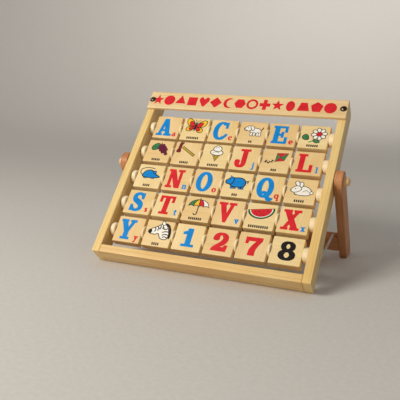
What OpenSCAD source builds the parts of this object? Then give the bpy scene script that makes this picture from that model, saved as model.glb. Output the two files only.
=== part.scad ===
// Tabletop frame of turning wooden blocks that stands on a pair of hinged rear legs.
// Frame of the part: +X right, +Y back, +Z up, z = 0 is the surface it stands on,
// x = 0 is the middle of its width and y = 0 the middle of its depth. Millimetres.

/* [Frame] */
// width over the two stiles
frame_w = 250; // [220:1:280]
// length of the stiles
frame_l = 228; // [226:0.5:234]
// depth of the stiles and the rail, front to back
frame_d = 24; // [22:0.5:28]
// width of a stile's front face
stile_w = 9.5; // [9:0.1:12]
// height of the bottom rail
rail_h = 9.5; // [8:0.1:11]
// lean of the frame back from upright, degrees
lean = 42; // [41:0.5:42.5]
// rounding of the long edges
edge_r = 1; // [0.5:0.1:1.5]
// rounding of the stiles' upper rear corner
top_r = 7; // [4:0.5:9]

/* [Header] */
// height of the header board
header_h = 26; // [22:0.5:27]
// thickness of the header board
header_t = 4.2; // [3:0.1:6]
// how far the header stands above the stiles
header_up = 0.5; // [0:0.1:1]
// diameter of a screw head
screw_head_d = 8; // [7:0.1:9]
// height of a screw's domed head
screw_head_h = 2.2; // [1.8:0.1:2.6]
// diameter of a screw's shank
screw_d = 3.5; // [3:0.1:4]
// length of a screw's shank
screw_l = 18; // [14:0.5:20]

/* [Blocks] */
// width of a block along its row
block = 33.8; // [32:0.1:34.2]
// height of a block
block_h = 32.4; // [31.5:0.1:32.8]
// thickness of a block
block_t = 10; // [9:0.1:10.6]
// rounding of a block's edges
block_r = 0.9; // [0.5:0.1:1.5]
// distance between neighbouring blocks, centre to centre, along a row
pitch_x = 36.8; // [36.5:0.1:37]
// distance between neighbouring rods
pitch_z = 36.6; // [36.4:0.1:37]
// height of the lowest rod above the stiles' lower end
rod_low = 35; // [33.5:0.1:35.5]
// depth of the rods behind the frame's front
rod_in = 11.5; // [11:0.1:12.5]
// diameter of a rod
rod_d = 4.8; // [4.5:0.1:5]
// radial clearance of a block or spacer on its rod
run = 0.08; // [0.05:0.01:0.1]
// depth of the blind holes that hold the rods
rod_hole = 6.5; // [5:0.1:7]
// diameter of a spacer
spacer_d = 16; // [14:0.1:17]
// end play between a spacer and its neighbour
play = 0.25; // [0.2:0.01:0.3]

/* [Legs] */
// height of the pivot above the stiles' lower end
pivot_up = 128; // [125:0.1:130]
// depth of the pivot behind the frame's front
pivot_in = 10.5; // [10:0.1:13]
// lean of the legs forward from upright, degrees
leg_lean = 37; // [36.5:0.5:39]
// width of a leg
leg_w = 23; // [21:0.5:24]
// thickness of a leg
leg_t = 9; // [8:0.1:10]
// gap between a stile and its leg
leg_gap = 0.5; // [0.4:0.1:0.8]
// rounding of the foot's rear corner
foot_r = 4; // [2:0.5:5]
// diameter of a pivot peg
peg_d = 10; // [9:0.1:10.5]
// how far a peg's dome stands out of the leg
peg_out = 7; // [5:0.1:8]
// distance of the crossbar's top from the pivot
bar_from = 86; // [84:0.5:88]
// height of the crossbar
bar_h = 24; // [20:0.5:25]
// thickness of the crossbar
bar_t = 9.5; // [8:0.1:10]

/* [Stay cord] */
// diameter of the stay cord
cord_d = 2.6; // [2.2:0.1:3]
// height of the cord's hole above the right stile's lower end
cord_up = 27; // [24:0.5:30]
// depth of the cord holes
cord_hole = 6; // [5:0.5:7]

/* [View] */
// node to build

/* [Hidden] */
$fn = 96;
// small turn of each block at rest, degrees, upper edge to the front
turn = [[2, 3, 1, 0, 0, -2], [-2, 1, 2, 1, -1, -3], [0, 1, 2, 2, 1, -1], [-3, -4, -1, 1, 0, -2], [1, 2, 1, 0, -1, -2]];

inner_w = frame_w - 2 * stile_w;
header_z = frame_l + header_up - header_h;
screw_x = frame_w / 2 - stile_w / 2;
screw_z = header_z + header_h / 2;
leg_in = frame_w / 2 + leg_gap;
leg_out = leg_in + leg_t;
leg_r = leg_w / 2;
// pivot, measured from the front lower edge of the frame
pivot_y = pivot_up * sin(lean) + pivot_in * cos(lean);
pivot_z = pivot_up * cos(lean) + (frame_d - pivot_in) * sin(lean);
// centre of the foot's rear rounding, and with it the depth of the whole toy
foot_cy = pivot_y + (leg_r - foot_r + (pivot_z - foot_r) * sin(leg_lean)) / cos(leg_lean);
depth = foot_cy + foot_r;
y0 = -depth / 2;
// length of a leg's front edge below the pivot, and of its rear edge
leg_lf = (pivot_z - leg_r * sin(leg_lean)) / cos(leg_lean);
leg_lr = (pivot_z + leg_r * sin(leg_lean)) / cos(leg_lean);
block_gap = pitch_x - block;
end_gap = (inner_w - 5 * pitch_x - block) / 2;
cord_x = frame_w / 2 - stile_w / 2;
// the stay cord's route in the part's own Y and Z: hole end, bend behind the stile, bend above the crossbar, hole end
cord_route = [
    board_pt(cord_up, frame_d - cord_hole), board_pt(cord_up, frame_d + 1.9),
    leg_pt(bar_from - 3.4, leg_r - bar_t / 2), leg_pt(bar_from + cord_hole - 0.1, leg_r - bar_t / 2)
];

// a point v up the board and w behind its front, as [y, z]
function board_pt(v, w) = [y0 + v * sin(lean) + w * cos(lean), v * cos(lean) + (frame_d - w) * sin(lean)];
// a point s down the leg from the pivot and n in front of its middle line, as [y, z]
function leg_pt(s, n) = [y0 + pivot_y + s * sin(leg_lean) - n * cos(leg_lean), pivot_z - s * cos(leg_lean) - n * sin(leg_lean)];

function unit(v) = v / norm(v);
// a ring of eight points round the cord at its route's point k, square to the bend's middle direction
function cord_ring(x, k) = let (
    a = unit(cord_route[max(k, 1)] - cord_route[max(k, 1) - 1]),
    b = unit(cord_route[min(k, 2) + 1] - cord_route[min(k, 2)]),
    t = unit(a + b), n = [-t[1], t[0]] / (t * a)
) [for (i = [0:7]) let (w = 45 * i + 22.5)
    [x + cord_d / 2 * cos(w), cord_route[k][0] + cord_d / 2 * sin(w) * n[0], cord_route[k][1] + cord_d / 2 * sin(w) * n[1]]];

// the leaning board's frame: X across, Y behind its front face, Z up along it
module board() translate([0, y0, frame_d * sin(lean)]) rotate([-lean, 0, 0]) children();
// the legs' frame: origin on the pivot axis, Z up along the leg, Y towards its rear edge
module legs() translate([0, y0 + pivot_y, pivot_z]) rotate([leg_lean, 0, 0]) children();
// a shape drawn in Y and Z, as thick as t along +X from x
module across(x, t) translate([x, 0, 0]) rotate([90, 0, 90]) linear_extrude(t) children();
// a round bar along X from x, t long
module bar_x(d, x, t) translate([x, 0, 0]) rotate([0, 90, 0]) cylinder(d = d, h = t);
// a rectangle with rounded corners from the origin
module soft_rect(a, b, r) {
    translate([r, 0]) square([a - 2 * r, b]);
    translate([0, r]) square([a, b - 2 * r]);
    for (x = [r, a - r], y = [r, b - r]) translate([x, y]) circle(r);
}

module stile(side) {
    color([0.94, 0.80, 0.55]) board() difference() {
        intersection() {
            translate([side * (frame_w / 2 - stile_w / 2) - stile_w / 2, 0, 0])
                linear_extrude(frame_l) soft_rect(stile_w, frame_d, edge_r);
            across(side * (frame_w / 2 - stile_w / 2) - stile_w / 2 - 1, stile_w + 2) union() {
                square([frame_d - top_r, frame_l]);
                square([frame_d, frame_l - top_r]);
                translate([frame_d - top_r, frame_l - top_r]) circle(top_r);
            }
        }
        // blind holes for the rods, from the inside
        for (i = [0:4]) translate([0, rod_in, rod_low + i * pitch_z])
            bar_x(rod_d, side > 0 ? inner_w / 2 - 1 : -inner_w / 2 - rod_hole, rod_hole + 1);
        // blind hole for the pivot peg, from the outside
        translate([0, pivot_in, pivot_up])
            bar_x(peg_d, side > 0 ? frame_w / 2 - rod_hole : -frame_w / 2 - 1, rod_hole + 1);
        // pilot hole for the header screw, from the front
        translate([side * screw_x, screw_l - header_t, screw_z]) rotate([90, 0, 0]) cylinder(d = screw_d, h = screw_l);
        // blind hole for the stay cord in the right stile, from the rear
        if (side > 0) translate([cord_x, frame_d - cord_hole, cord_up]) rotate([-90, 0, 0]) cylinder(d = cord_d + 0.2, h = cord_hole + 1);
    }
}
module left_stile() stile(-1);
module right_stile() stile(1);

module bottom_rail() color([0.94, 0.80, 0.55]) board() across(-inner_w / 2, inner_w) soft_rect(frame_d, rail_h, edge_r);

module header_board() color([0.93, 0.83, 0.64]) board() difference() {
    translate([0, -header_t, header_z]) across(-frame_w / 2, frame_w) soft_rect(header_t, header_h, edge_r);
    for (s = [-1, 1]) translate([s * screw_x, 1, screw_z]) rotate([90, 0, 0]) cylinder(d = screw_d, h = header_t + 2);
}

module screw(side) color([0.25, 0.21, 0.17]) board() translate([side * screw_x, -header_t, screw_z]) rotate([90, 0, 0]) difference() {
    union() {
        translate([0, 0, -screw_l]) cylinder(d = screw_d, h = screw_l);
        intersection() {
            cylinder(d = screw_head_d, h = screw_head_h);
            translate([0, 0, screw_head_h - screw_ball]) sphere(screw_ball);
        }
    }
    // driver slot
    rotate([0, 0, side > 0 ? 20 : -35]) translate([-screw_head_d, -0.6, screw_head_h - 1.1]) cube([2 * screw_head_d, 1.2, 2]);
}
screw_ball = (pow(screw_head_d / 2, 2) + pow(screw_head_h, 2)) / (2 * screw_head_h);
module screw_left() screw(-1);
module screw_right() screw(1);

// rows are counted from the top
module row_at(i) board() translate([0, rod_in, rod_low + (5 - i) * pitch_z]) children();
module rod(i) color([0.85, 0.70, 0.45]) row_at(i) bar_x(rod_d, -inner_w / 2 - rod_hole, inner_w + 2 * rod_hole);
module rod_1() rod(1);
module rod_2() rod(2);
module rod_3() rod(3);
module rod_4() rod(4);
module rod_5() rod(5);

// a round spacer along X from x, t long, with a softened rim
module spacer(x, t) translate([x, 0, 0]) rotate([0, 90, 0]) rotate_extrude() {
    r = min(1, t / 2 - 0.1);
    translate([rod_d / 2 + run, 0]) square([spacer_d / 2 - rod_d / 2 - run - r, t]);
    translate([spacer_d / 2 - r - 0.01, r]) square([r + 0.01, t - 2 * r]);
    for (y = [r, t - r]) translate([spacer_d / 2 - r, y]) circle(r);
}
module spacers(i) color([1.0, 0.94, 0.78]) row_at(i) {
    for (k = [-2:2]) spacer(k * pitch_x - block_gap / 2 + play, block_gap - 2 * play);
    spacer(-inner_w / 2 + play, end_gap - 2 * play);
    spacer(inner_w / 2 - end_gap + play, end_gap - 2 * play);
}
module spacers_1() spacers(1);
module spacers_2() spacers(2);
module spacers_3() spacers(3);
module spacers_4() spacers(4);
module spacers_5() spacers(5);

// one block, bored for the rod and turned a little about it
module block_at(i, j) color([0.95, 0.86, 0.68]) row_at(i) rotate([turn[i - 1][j - 1], 0, 0]) translate([(j - 3.5) * pitch_x, 0, 0]) difference() {
    translate([0, -block_t / 2, -block_h / 2]) across(-block / 2, block) soft_rect(block_t, block_h, block_r);
    bar_x(rod_d + 2 * run, -block / 2 - 1, block + 2);
}
module block_11() block_at(1, 1);
module block_12() block_at(1, 2);
module block_13() block_at(1, 3);
module block_14() block_at(1, 4);
module block_15() block_at(1, 5);
module block_16() block_at(1, 6);
module block_21() block_at(2, 1);
module block_22() block_at(2, 2);
module block_23() block_at(2, 3);
module block_24() block_at(2, 4);
module block_25() block_at(2, 5);
module block_26() block_at(2, 6);
module block_31() block_at(3, 1);
module block_32() block_at(3, 2);
module block_33() block_at(3, 3);
module block_34() block_at(3, 4);
module block_35() block_at(3, 5);
module block_36() block_at(3, 6);
module block_41() block_at(4, 1);
module block_42() block_at(4, 2);
module block_43() block_at(4, 3);
module block_44() block_at(4, 4);
module block_45() block_at(4, 5);
module block_46() block_at(4, 6);
module block_51() block_at(5, 1);
module block_52() block_at(5, 2);
module block_53() block_at(5, 3);
module block_54() block_at(5, 4);
module block_55() block_at(5, 5);
module block_56() block_at(5, 6);

// leg outline in the legs' frame: round top, foot cut level with the surface
module leg_2d() {
    c = [foot_cy - pivot_y, foot_r - pivot_z];
    cl = [c[0] * cos(leg_lean) + c[1] * sin(leg_lean), -c[0] * sin(leg_lean) + c[1] * cos(leg_lean)];
    circle(leg_r);
    polygon([[-leg_r, 0], [-leg_r, -leg_lf], cl + foot_r * [-sin(leg_lean), -cos(leg_lean)], cl + [foot_r, 0], [leg_r, 0]]);
    translate(cl) circle(foot_r);
}
module leg(side) color([0.72, 0.45, 0.28]) legs() difference() {
    across(side > 0 ? leg_in : -leg_out, leg_t) leg_2d();
    bar_x(peg_d + 2 * run, side > 0 ? leg_in - 1 : -leg_out - 1, leg_t + 2);
}
module leg_left() leg(-1);
module leg_right() leg(1);

module crossbar() color([0.72, 0.45, 0.28]) legs() difference() {
    translate([0, -leg_r, -bar_from - bar_h]) across(-leg_in, 2 * leg_in) soft_rect(bar_t, bar_h, edge_r);
    translate([cord_x, -leg_r + bar_t / 2, -bar_from - cord_hole]) cylinder(d = cord_d + 0.2, h = cord_hole + 1);
}

// a pivot peg with a domed end outside the leg
module peg(side) color([0.97, 0.88, 0.68]) board() translate([0, pivot_in, pivot_up]) rotate([0, side > 0 ? 90 : -90, 0])
    translate([0, 0, frame_w / 2 - rod_hole]) rotate_extrude() intersection() {
        square([peg_d / 2, peg_l]);
        union() {
            square([peg_d, peg_l - peg_ball]);
            translate([0, peg_l - peg_ball]) circle(peg_ball);
        }
    }
peg_l = rod_hole + leg_gap + leg_t + peg_out;
// radius of the dome's sphere, which meets the peg's side a quarter of its width below the tip
peg_ball = (pow(peg_d / 2, 2) + pow(peg_d / 4, 2)) / (2 * peg_d / 4);
module peg_left() peg(-1);
module peg_right() peg(1);

// a taut cord from the stile's rear face to the crossbar's top, its ends set in their holes
module stay_cord_right() color([0.97, 0.93, 0.90]) polyhedron(
    [for (k = [0:3]) each cord_ring(cord_x, k)],
    concat([[for (i = [7:-1:0]) i]], [[for (i = [24:31]) i]],
        [for (k = [0:2], i = [0:7]) [8 * k + i, 8 * k + (i + 1) % 8, 8 * k + 8 + (i + 1) % 8, 8 * k + 8 + i]]));

left_stile();
right_stile();
bottom_rail();
header_board();
screw_left();
screw_right();
rod_1();
rod_2();
rod_3();
rod_4();
rod_5();
spacers_1();
spacers_2();
spacers_3();
spacers_4();
spacers_5();
block_11();
block_12();
block_13();
block_14();
block_15();
block_16();
block_21();
block_22();
block_23();
block_24();
block_25();
block_26();
block_31();
block_32();
block_33();
block_34();
block_35();
block_36();
block_41();
block_42();
block_43();
block_44();
block_45();
block_46();
block_51();
block_52();
block_53();
block_54();
block_55();
block_56();
leg_left();
leg_right();
crossbar();
peg_left();
peg_right();
stay_cord_right();
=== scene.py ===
# Spinning block toy: a leaning wooden frame with thirty printed blocks that spin on five rods,
# held up by two hinged legs. Lengths are in metres.
import math
import random

import bmesh
import bpy
from mathutils import Matrix, Vector, geometry, noise


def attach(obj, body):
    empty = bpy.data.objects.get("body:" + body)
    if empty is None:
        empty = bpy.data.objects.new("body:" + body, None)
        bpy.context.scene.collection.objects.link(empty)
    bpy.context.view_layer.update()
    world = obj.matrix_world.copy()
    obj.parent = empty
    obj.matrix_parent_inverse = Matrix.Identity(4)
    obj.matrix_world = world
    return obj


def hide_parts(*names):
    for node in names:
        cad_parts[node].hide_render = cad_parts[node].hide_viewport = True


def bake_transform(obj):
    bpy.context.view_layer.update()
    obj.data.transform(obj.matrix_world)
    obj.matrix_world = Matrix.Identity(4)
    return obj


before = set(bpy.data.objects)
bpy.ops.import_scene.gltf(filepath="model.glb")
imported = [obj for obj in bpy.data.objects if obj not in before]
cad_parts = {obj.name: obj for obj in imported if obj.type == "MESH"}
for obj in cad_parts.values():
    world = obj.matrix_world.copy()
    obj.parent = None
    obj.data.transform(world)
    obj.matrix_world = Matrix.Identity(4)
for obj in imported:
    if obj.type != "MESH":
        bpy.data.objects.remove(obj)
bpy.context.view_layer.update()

# ---------------------------------------------------------------- sizes
MM = 0.001
LEAN, LEG_LEAN = math.radians(42), math.radians(37)
FRAME_W, FRAME_L, FRAME_D, STILE_W, RAIL_H = 0.250, 0.228, 0.024, 0.0095, 0.0095
HEADER_T, HEADER_H, HEADER_UP = 0.0042, 0.026, 0.0005
BLOCK, BLOCK_H, BLOCK_T, BLOCK_GAP = 0.0338, 0.0324, 0.010, 0.0030
PITCH_X, PITCH_Z, ROD_LOW, ROD_IN, ROD_R, RUN = 0.0368, 0.0366, 0.035, 0.0115, 0.0024, 0.00008
SPACER_R, PLAY = 0.008, 0.00025
PIVOT_UP, PIVOT_IN, LEG_W, LEG_T, LEG_GAP, FOOT_R = 0.128, 0.0105, 0.023, 0.009, 0.0005, 0.004
PEG_R, PEG_TIP = 0.005, 0.1415
BAR_FROM, BAR_H, BAR_T = 0.086, 0.024, 0.0095
CORD_D, CORD_UP, CORD_HOLE = 0.0026, 0.027, 0.006
# turn of each block at rest, degrees, upper edge to the front
TURN = [[2, 3, 1, 0, 0, -2], [-2, 1, 2, 1, -1, -3], [0, 1, 2, 2, 1, -1], [-3, -4, -1, 1, 0, -2], [1, 2, 1, 0, -1, -2]]

sl, cl = math.sin(LEAN), math.cos(LEAN)
sg, cg = math.sin(LEG_LEAN), math.cos(LEG_LEAN)
LEG_R = LEG_W / 2
PIV_Y, PIV_Z = PIVOT_UP * sl + PIVOT_IN * cl, PIVOT_UP * cl + (FRAME_D - PIVOT_IN) * sl
FOOT_CY = PIV_Y + (LEG_R - FOOT_R + (PIV_Z - FOOT_R) * sg) / cg
Y0 = -(FOOT_CY + FOOT_R) / 2
INNER_W = FRAME_W - 2 * STILE_W
CORD_X = (FRAME_W - STILE_W) / 2
# the board's frame: X across, Y behind its front, Z up along it; the legs' frame: origin on the pivots, Z up the leg
BOARD = Matrix.Translation((0, Y0, FRAME_D * sl)) @ Matrix.Rotation(-LEAN, 4, "X")
LEGS = Matrix.Translation((0, Y0 + PIV_Y, PIV_Z)) @ Matrix.Rotation(LEG_LEAN, 4, "X")


def board_pt(x, v, w):
    return BOARD @ Vector((x, w, v))


def leg_pt(x, s, n):
    return LEGS @ Vector((x, -n, -s))


# ---------------------------------------------------------------- camera
AZ, EL, ROLL, FOCAL_PX = math.radians(22.2), math.radians(12.0), math.radians(1.6), 622.0
CAM_AT = Vector((0.241, Y0 - 0.577, 0.220))
cam_data = bpy.data.cameras.new("camera")
cam_data.sensor_width = 36.0
cam_data.sensor_fit = "HORIZONTAL"
cam_data.lens = 36.0 * FOCAL_PX / 400.0
cam_data.clip_start, cam_data.clip_end = 0.02, 60.0
camera = bpy.data.objects.new("camera", cam_data)
bpy.context.scene.collection.objects.link(camera)
fw = Vector((-math.sin(AZ) * math.cos(EL), math.cos(AZ) * math.cos(EL), -math.sin(EL)))
rt = fw.cross(Vector((0, 0, 1))).normalized()
dn = fw.cross(rt)
right = rt * math.cos(ROLL) - dn * math.sin(ROLL)
down = rt * math.sin(ROLL) + dn * math.cos(ROLL)
camera.matrix_world = Matrix.Translation(CAM_AT) @ Matrix((right, -down, -fw)).transposed().to_4x4()
bpy.context.scene.camera = camera


# ---------------------------------------------------------------- helpers
def new_mesh(name, verts, faces, slots=None):
    me = bpy.data.meshes.new(name)
    me.from_pydata([tuple(v) for v in verts], [], faces)
    if slots:
        me.polygons.foreach_set("material_index", slots)
    me.validate()
    me.update()
    return me


def outward(me):
    """Turns every face of a closed mesh outward."""
    bm = bmesh.new()
    bm.from_mesh(me)
    bmesh.ops.recalc_face_normals(bm, faces=bm.faces)
    bm.to_mesh(me)
    bm.free()
    me.update()
    return me


def smooth_shade(me, angle=38.0):
    """Smooth normals, weighted by face area, with sharp edges kept."""
    me.shade_smooth()
    me.set_sharp_from_angle(angle=math.radians(angle))
    sums = [Vector() for _ in me.vertices]
    for p in me.polygons:
        for v in p.vertices:
            sums[v] += p.normal * p.area
    out = []
    limit = math.cos(math.radians(angle))
    for p in me.polygons:
        for v in p.vertices:
            n = sums[v].normalized() if sums[v].length > 0 else p.normal
            out.append(n if n.dot(p.normal) > limit else p.normal)
    me.normals_split_custom_set([tuple(n) for n in out])


def piece(name, me, matrix, body, mats, replaces=()):
    ob = bpy.data.objects.new(name, me)
    bpy.context.scene.collection.objects.link(ob)
    for m in mats:
        me.materials.append(m)
    if matrix is not None:
        ob.matrix_world = matrix
    if replaces:
        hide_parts(*replaces)
    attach(ob, body)
    return ob


def rounded_bar(x0, x1, outline, r, seg=3, cuts=0):
    """An outline in Y and Z carried along X, all its sharp edges rounded."""
    bm = bmesh.new()
    a = [bm.verts.new((x0, y, z)) for y, z in outline]
    b = [bm.verts.new((x1, y, z)) for y, z in outline]
    n = len(outline)
    bm.faces.new(a)
    bm.faces.new(list(reversed(b)))
    for i in range(n):
        j = (i + 1) % n
        bm.faces.new((a[j], a[i], b[i], b[j]))
    bmesh.ops.recalc_face_normals(bm, faces=bm.faces)
    sharp = [e for e in bm.edges if e.calc_face_angle(0) > math.radians(25)]
    bmesh.ops.bevel(bm, geom=sharp, offset=r, offset_type="OFFSET", segments=seg, profile=0.5, affect="EDGES", clamp_overlap=True)
    bmesh.ops.recalc_face_normals(bm, faces=bm.faces)
    me = bpy.data.meshes.new("bar")
    bm.to_mesh(me)
    bm.free()
    return me


def lathe(profile, axis="X", n=48, at=(0, 0, 0)):
    """Verts and faces of a closed turned shape. profile is a closed ring of (along, radius); radius 0 ends meet on the axis."""
    verts, faces = [], []
    rings = []
    for u, r in profile:
        if r < 1e-9:
            verts.append(_turned(u, 0, 0, axis, at))
            rings.append([len(verts) - 1])
        else:
            ring = []
            for i in range(n):
                a = 2 * math.pi * i / n
                verts.append(_turned(u, r * math.cos(a), r * math.sin(a), axis, at))
                ring.append(len(verts) - 1)
            rings.append(ring)
    closed = profile[0][1] > 1e-9 and profile[-1][1] > 1e-9
    for k in range(len(rings) if closed else len(rings) - 1):
        p, q = rings[k], rings[(k + 1) % len(rings)]
        for i in range(n):
            j = (i + 1) % n
            if len(p) == 1:
                faces.append((p[0], q[i], q[j]))
            elif len(q) == 1:
                faces.append((p[i], q[0], p[j]))
            else:
                faces.append((p[i], q[i], q[j], p[j]))
    return verts, faces


def _turned(u, a, b, axis, at):
    p = {"X": (u, a, b), "Y": (a, u, b), "Z": (a, b, u)}[axis]
    return (p[0] + at[0], p[1] + at[1], p[2] + at[2])


def cut(me, cutters):
    """me less the closed meshes in cutters."""
    ob = bpy.data.objects.new("tmp_cut", me)
    bpy.context.scene.collection.objects.link(ob)
    tools = []
    for c in cutters:
        t = bpy.data.objects.new("tmp_tool", c)
        bpy.context.scene.collection.objects.link(t)
        tools.append(t)
        m = ob.modifiers.new("cut", "BOOLEAN")
        m.operation, m.solver, m.object = "DIFFERENCE", "EXACT", t
    bpy.context.view_layer.update()
    dg = bpy.context.evaluated_depsgraph_get()
    out = bpy.data.meshes.new_from_object(ob.evaluated_get(dg))
    for o in [ob] + tools:
        bpy.data.objects.remove(o)
    return out


def join(parts):
    """One (verts, faces) from several."""
    verts, faces = [], []
    for v, f in parts:
        k = len(verts)
        verts += list(v)
        faces += [tuple(i + k for i in q) for q in f]
    return verts, faces


# ---------------------------------------------------------------- stay cord
def rounded_path(pts, radius, step):
    """Points every step or so along pts, whose corners are arcs of that radius."""
    out = [Vector(pts[0])]
    for k in range(1, len(pts) - 1):
        p, a, b = Vector(pts[k]), (Vector(pts[k - 1]) - Vector(pts[k])).normalized(), (Vector(pts[k + 1]) - Vector(pts[k])).normalized()
        half = a.angle(b) / 2
        cut_back = radius / math.tan(half)
        centre = p + (a + b).normalized() * (radius / math.sin(half))
        s, e = p + a * cut_back - centre, p + b * cut_back - centre
        turn = s.angle(e)
        n = max(4, int(radius * turn / step))
        axis = s.cross(e).normalized()
        for i in range(n + 1):
            out.append(centre + Matrix.Rotation(turn * i / n, 3, axis) @ s)
    out.append(Vector(pts[-1]))
    fine = [out[0]]
    for q in out[1:]:
        d = (q - fine[-1]).length
        m = max(1, round(d / step))
        p = fine[-1]
        fine += [p.lerp(q, (i + 1) / m) for i in range(m)]
    return fine


def rope(pts, d, lay, n=30):
    """A closed three-strand rope along pts, which lie in a plane of constant X."""
    r = d / 2
    strand, off = 0.475 * r, 0.525 * r
    verts, faces, slots = [], [], []
    s = 0.0
    for k, p in enumerate(pts):
        if k:
            s += (p - pts[k - 1]).length
        t = (pts[min(k + 1, len(pts) - 1)] - pts[max(k - 1, 0)]).normalized()
        u = Vector((1, 0, 0))
        v = t.cross(u)
        for i in range(n):
            a = 2 * math.pi * i / n
            # outline of three round strands: the furthest of them in this direction
            best = 0.0
            for j in range(3):
                b = a - 2 * math.pi * j / 3
                c = math.cos(b) * off
                q = strand * strand - (off * math.sin(b)) ** 2
                if q > 0:
                    best = max(best, c + math.sqrt(q))
            best = max(best, 0.5 * r)
            w = a + 2 * math.pi * s / lay
            verts.append(p + (u * math.cos(w) + v * math.sin(w)) * best)
        if k:
            for i in range(n):
                j = (i + 1) % n
                q = k * n
                faces.append((q - n + i, q - n + j, q + j, q + i))
                # the grooves between the strands take the dark groove yarn: painted shade between the strands
                slots.append(1 if abs((i + 0.5) / n * 360 % 120 - 60) < 25 else 0)
    faces.append(tuple(range(n - 1, -1, -1)))
    faces.append(tuple(range(len(verts) - n, len(verts))))
    return new_mesh("rope", verts, faces, slots + [0, 0])


SIDES = {"left": -1, "right": 1}
cords = {}
for side_name, side in (("right", 1),):
    x = side * CORD_X
    route = [board_pt(x, CORD_UP, FRAME_D - CORD_HOLE), board_pt(x, CORD_UP, FRAME_D + 0.0019),
             leg_pt(x, BAR_FROM - 0.0034, LEG_R - BAR_T / 2), leg_pt(x, BAR_FROM + CORD_HOLE - 0.0001, LEG_R - BAR_T / 2)]
    pts = rounded_path(route, 0.0055, 0.0004)
    me = outward(rope(pts, CORD_D, 0.0102))
    me.shade_smooth()
    ob = bpy.data.objects.new("rope_" + side_name, me)
    bpy.context.scene.collection.objects.link(ob)
    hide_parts("stay_cord_" + side_name)
    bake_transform(ob)
    cords[side_name] = ob
# ---------------------------------------------------------------- printed designs
# Every design is a list of (colour, polygon) layers, later ones on top, drawn on a square
# from -0.5 to 0.5. Curves are strips of small quads.

def rect(x0, y0, x1, y1):
    return [[(x0, y0), (x1, y0), (x1, y1), (x0, y1)]]


def poly(*pts):
    return [list(pts)]


def oval(cx, cy, rx, ry, n=28, rot=0.0):
    c, s = math.cos(math.radians(rot)), math.sin(math.radians(rot))
    out = []
    for i in range(n):
        a = 2 * math.pi * i / n
        x, y = rx * math.cos(a), ry * math.sin(a)
        out.append((cx + x * c - y * s, cy + x * s + y * c))
    return [out]


def band(cx, cy, rx, ry, tx, ty, a0=0.0, a1=360.0, n=None):
    """Part of an elliptical ring, tx thick at its sides and ty at its top and bottom."""
    n = n or max(4, int(abs(a1 - a0) / 9))
    out = []
    for i in range(n):
        q = []
        for a, inner in ((a0 + (a1 - a0) * i / n, 0), (a0 + (a1 - a0) * (i + 1) / n, 0),
                         (a0 + (a1 - a0) * (i + 1) / n, 1), (a0 + (a1 - a0) * i / n, 1)):
            t = math.radians(a)
            q.append((cx + (rx - tx * inner) * math.cos(t), cy + (ry - ty * inner) * math.sin(t)))
        out.append(q)
    return out


def smooth(pts, k=6, closed=False):
    """Points along a curve through pts."""
    n = len(pts)
    out = []
    last = n if closed else n - 1
    for i in range(last):
        p = [pts[(i + j) % n] if closed else pts[min(max(i + j, 0), n - 1)] for j in (-1, 0, 1, 2)]
        for s in range(k):
            t = s / k
            out.append(tuple(0.5 * (2 * p[1][d] + (p[2][d] - p[0][d]) * t
                             + (2 * p[0][d] - 5 * p[1][d] + 4 * p[2][d] - p[3][d]) * t * t
                             + (3 * p[1][d] - p[0][d] - 3 * p[2][d] + p[3][d]) * t ** 3)
                             for d in range(len(pts[0]))))
    if not closed:
        out.append(tuple(pts[-1]))
    return out


def strip(pts, w, closed=False):
    """A line of width w (or of the width in each point's third place) along pts."""
    n = len(pts)
    left, right = [], []
    for i in range(n):
        a = pts[(i - 1) % n] if closed or i else pts[i]
        b = pts[(i + 1) % n] if closed or i < n - 1 else pts[i]
        dx, dy = b[0] - a[0], b[1] - a[1]
        d = math.hypot(dx, dy) or 1.0
        h = (pts[i][2] if len(pts[i]) > 2 else w) / 2
        left.append((pts[i][0] - dy / d * h, pts[i][1] + dx / d * h))
        right.append((pts[i][0] + dy / d * h, pts[i][1] - dx / d * h))
    out = []
    for i in range(n if closed else n - 1):
        j = (i + 1) % n
        out.append([left[i], left[j], right[j], right[i]])
    return out


def line(pts, w, k=6, closed=False):
    return strip(smooth(pts, k, closed), w, closed)


def straight(pts, w, closed=False):
    """A polyline of width w with round corners."""
    out = []
    m = len(pts)
    for i in range(m if closed else m - 1):
        out += strip([pts[i], pts[(i + 1) % m]], w)
    for p in pts:
        out += oval(p[0], p[1], w / 2, w / 2, 10)
    return out


def blob(pts, k=5):
    return [smooth(pts, k, True)]


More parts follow.
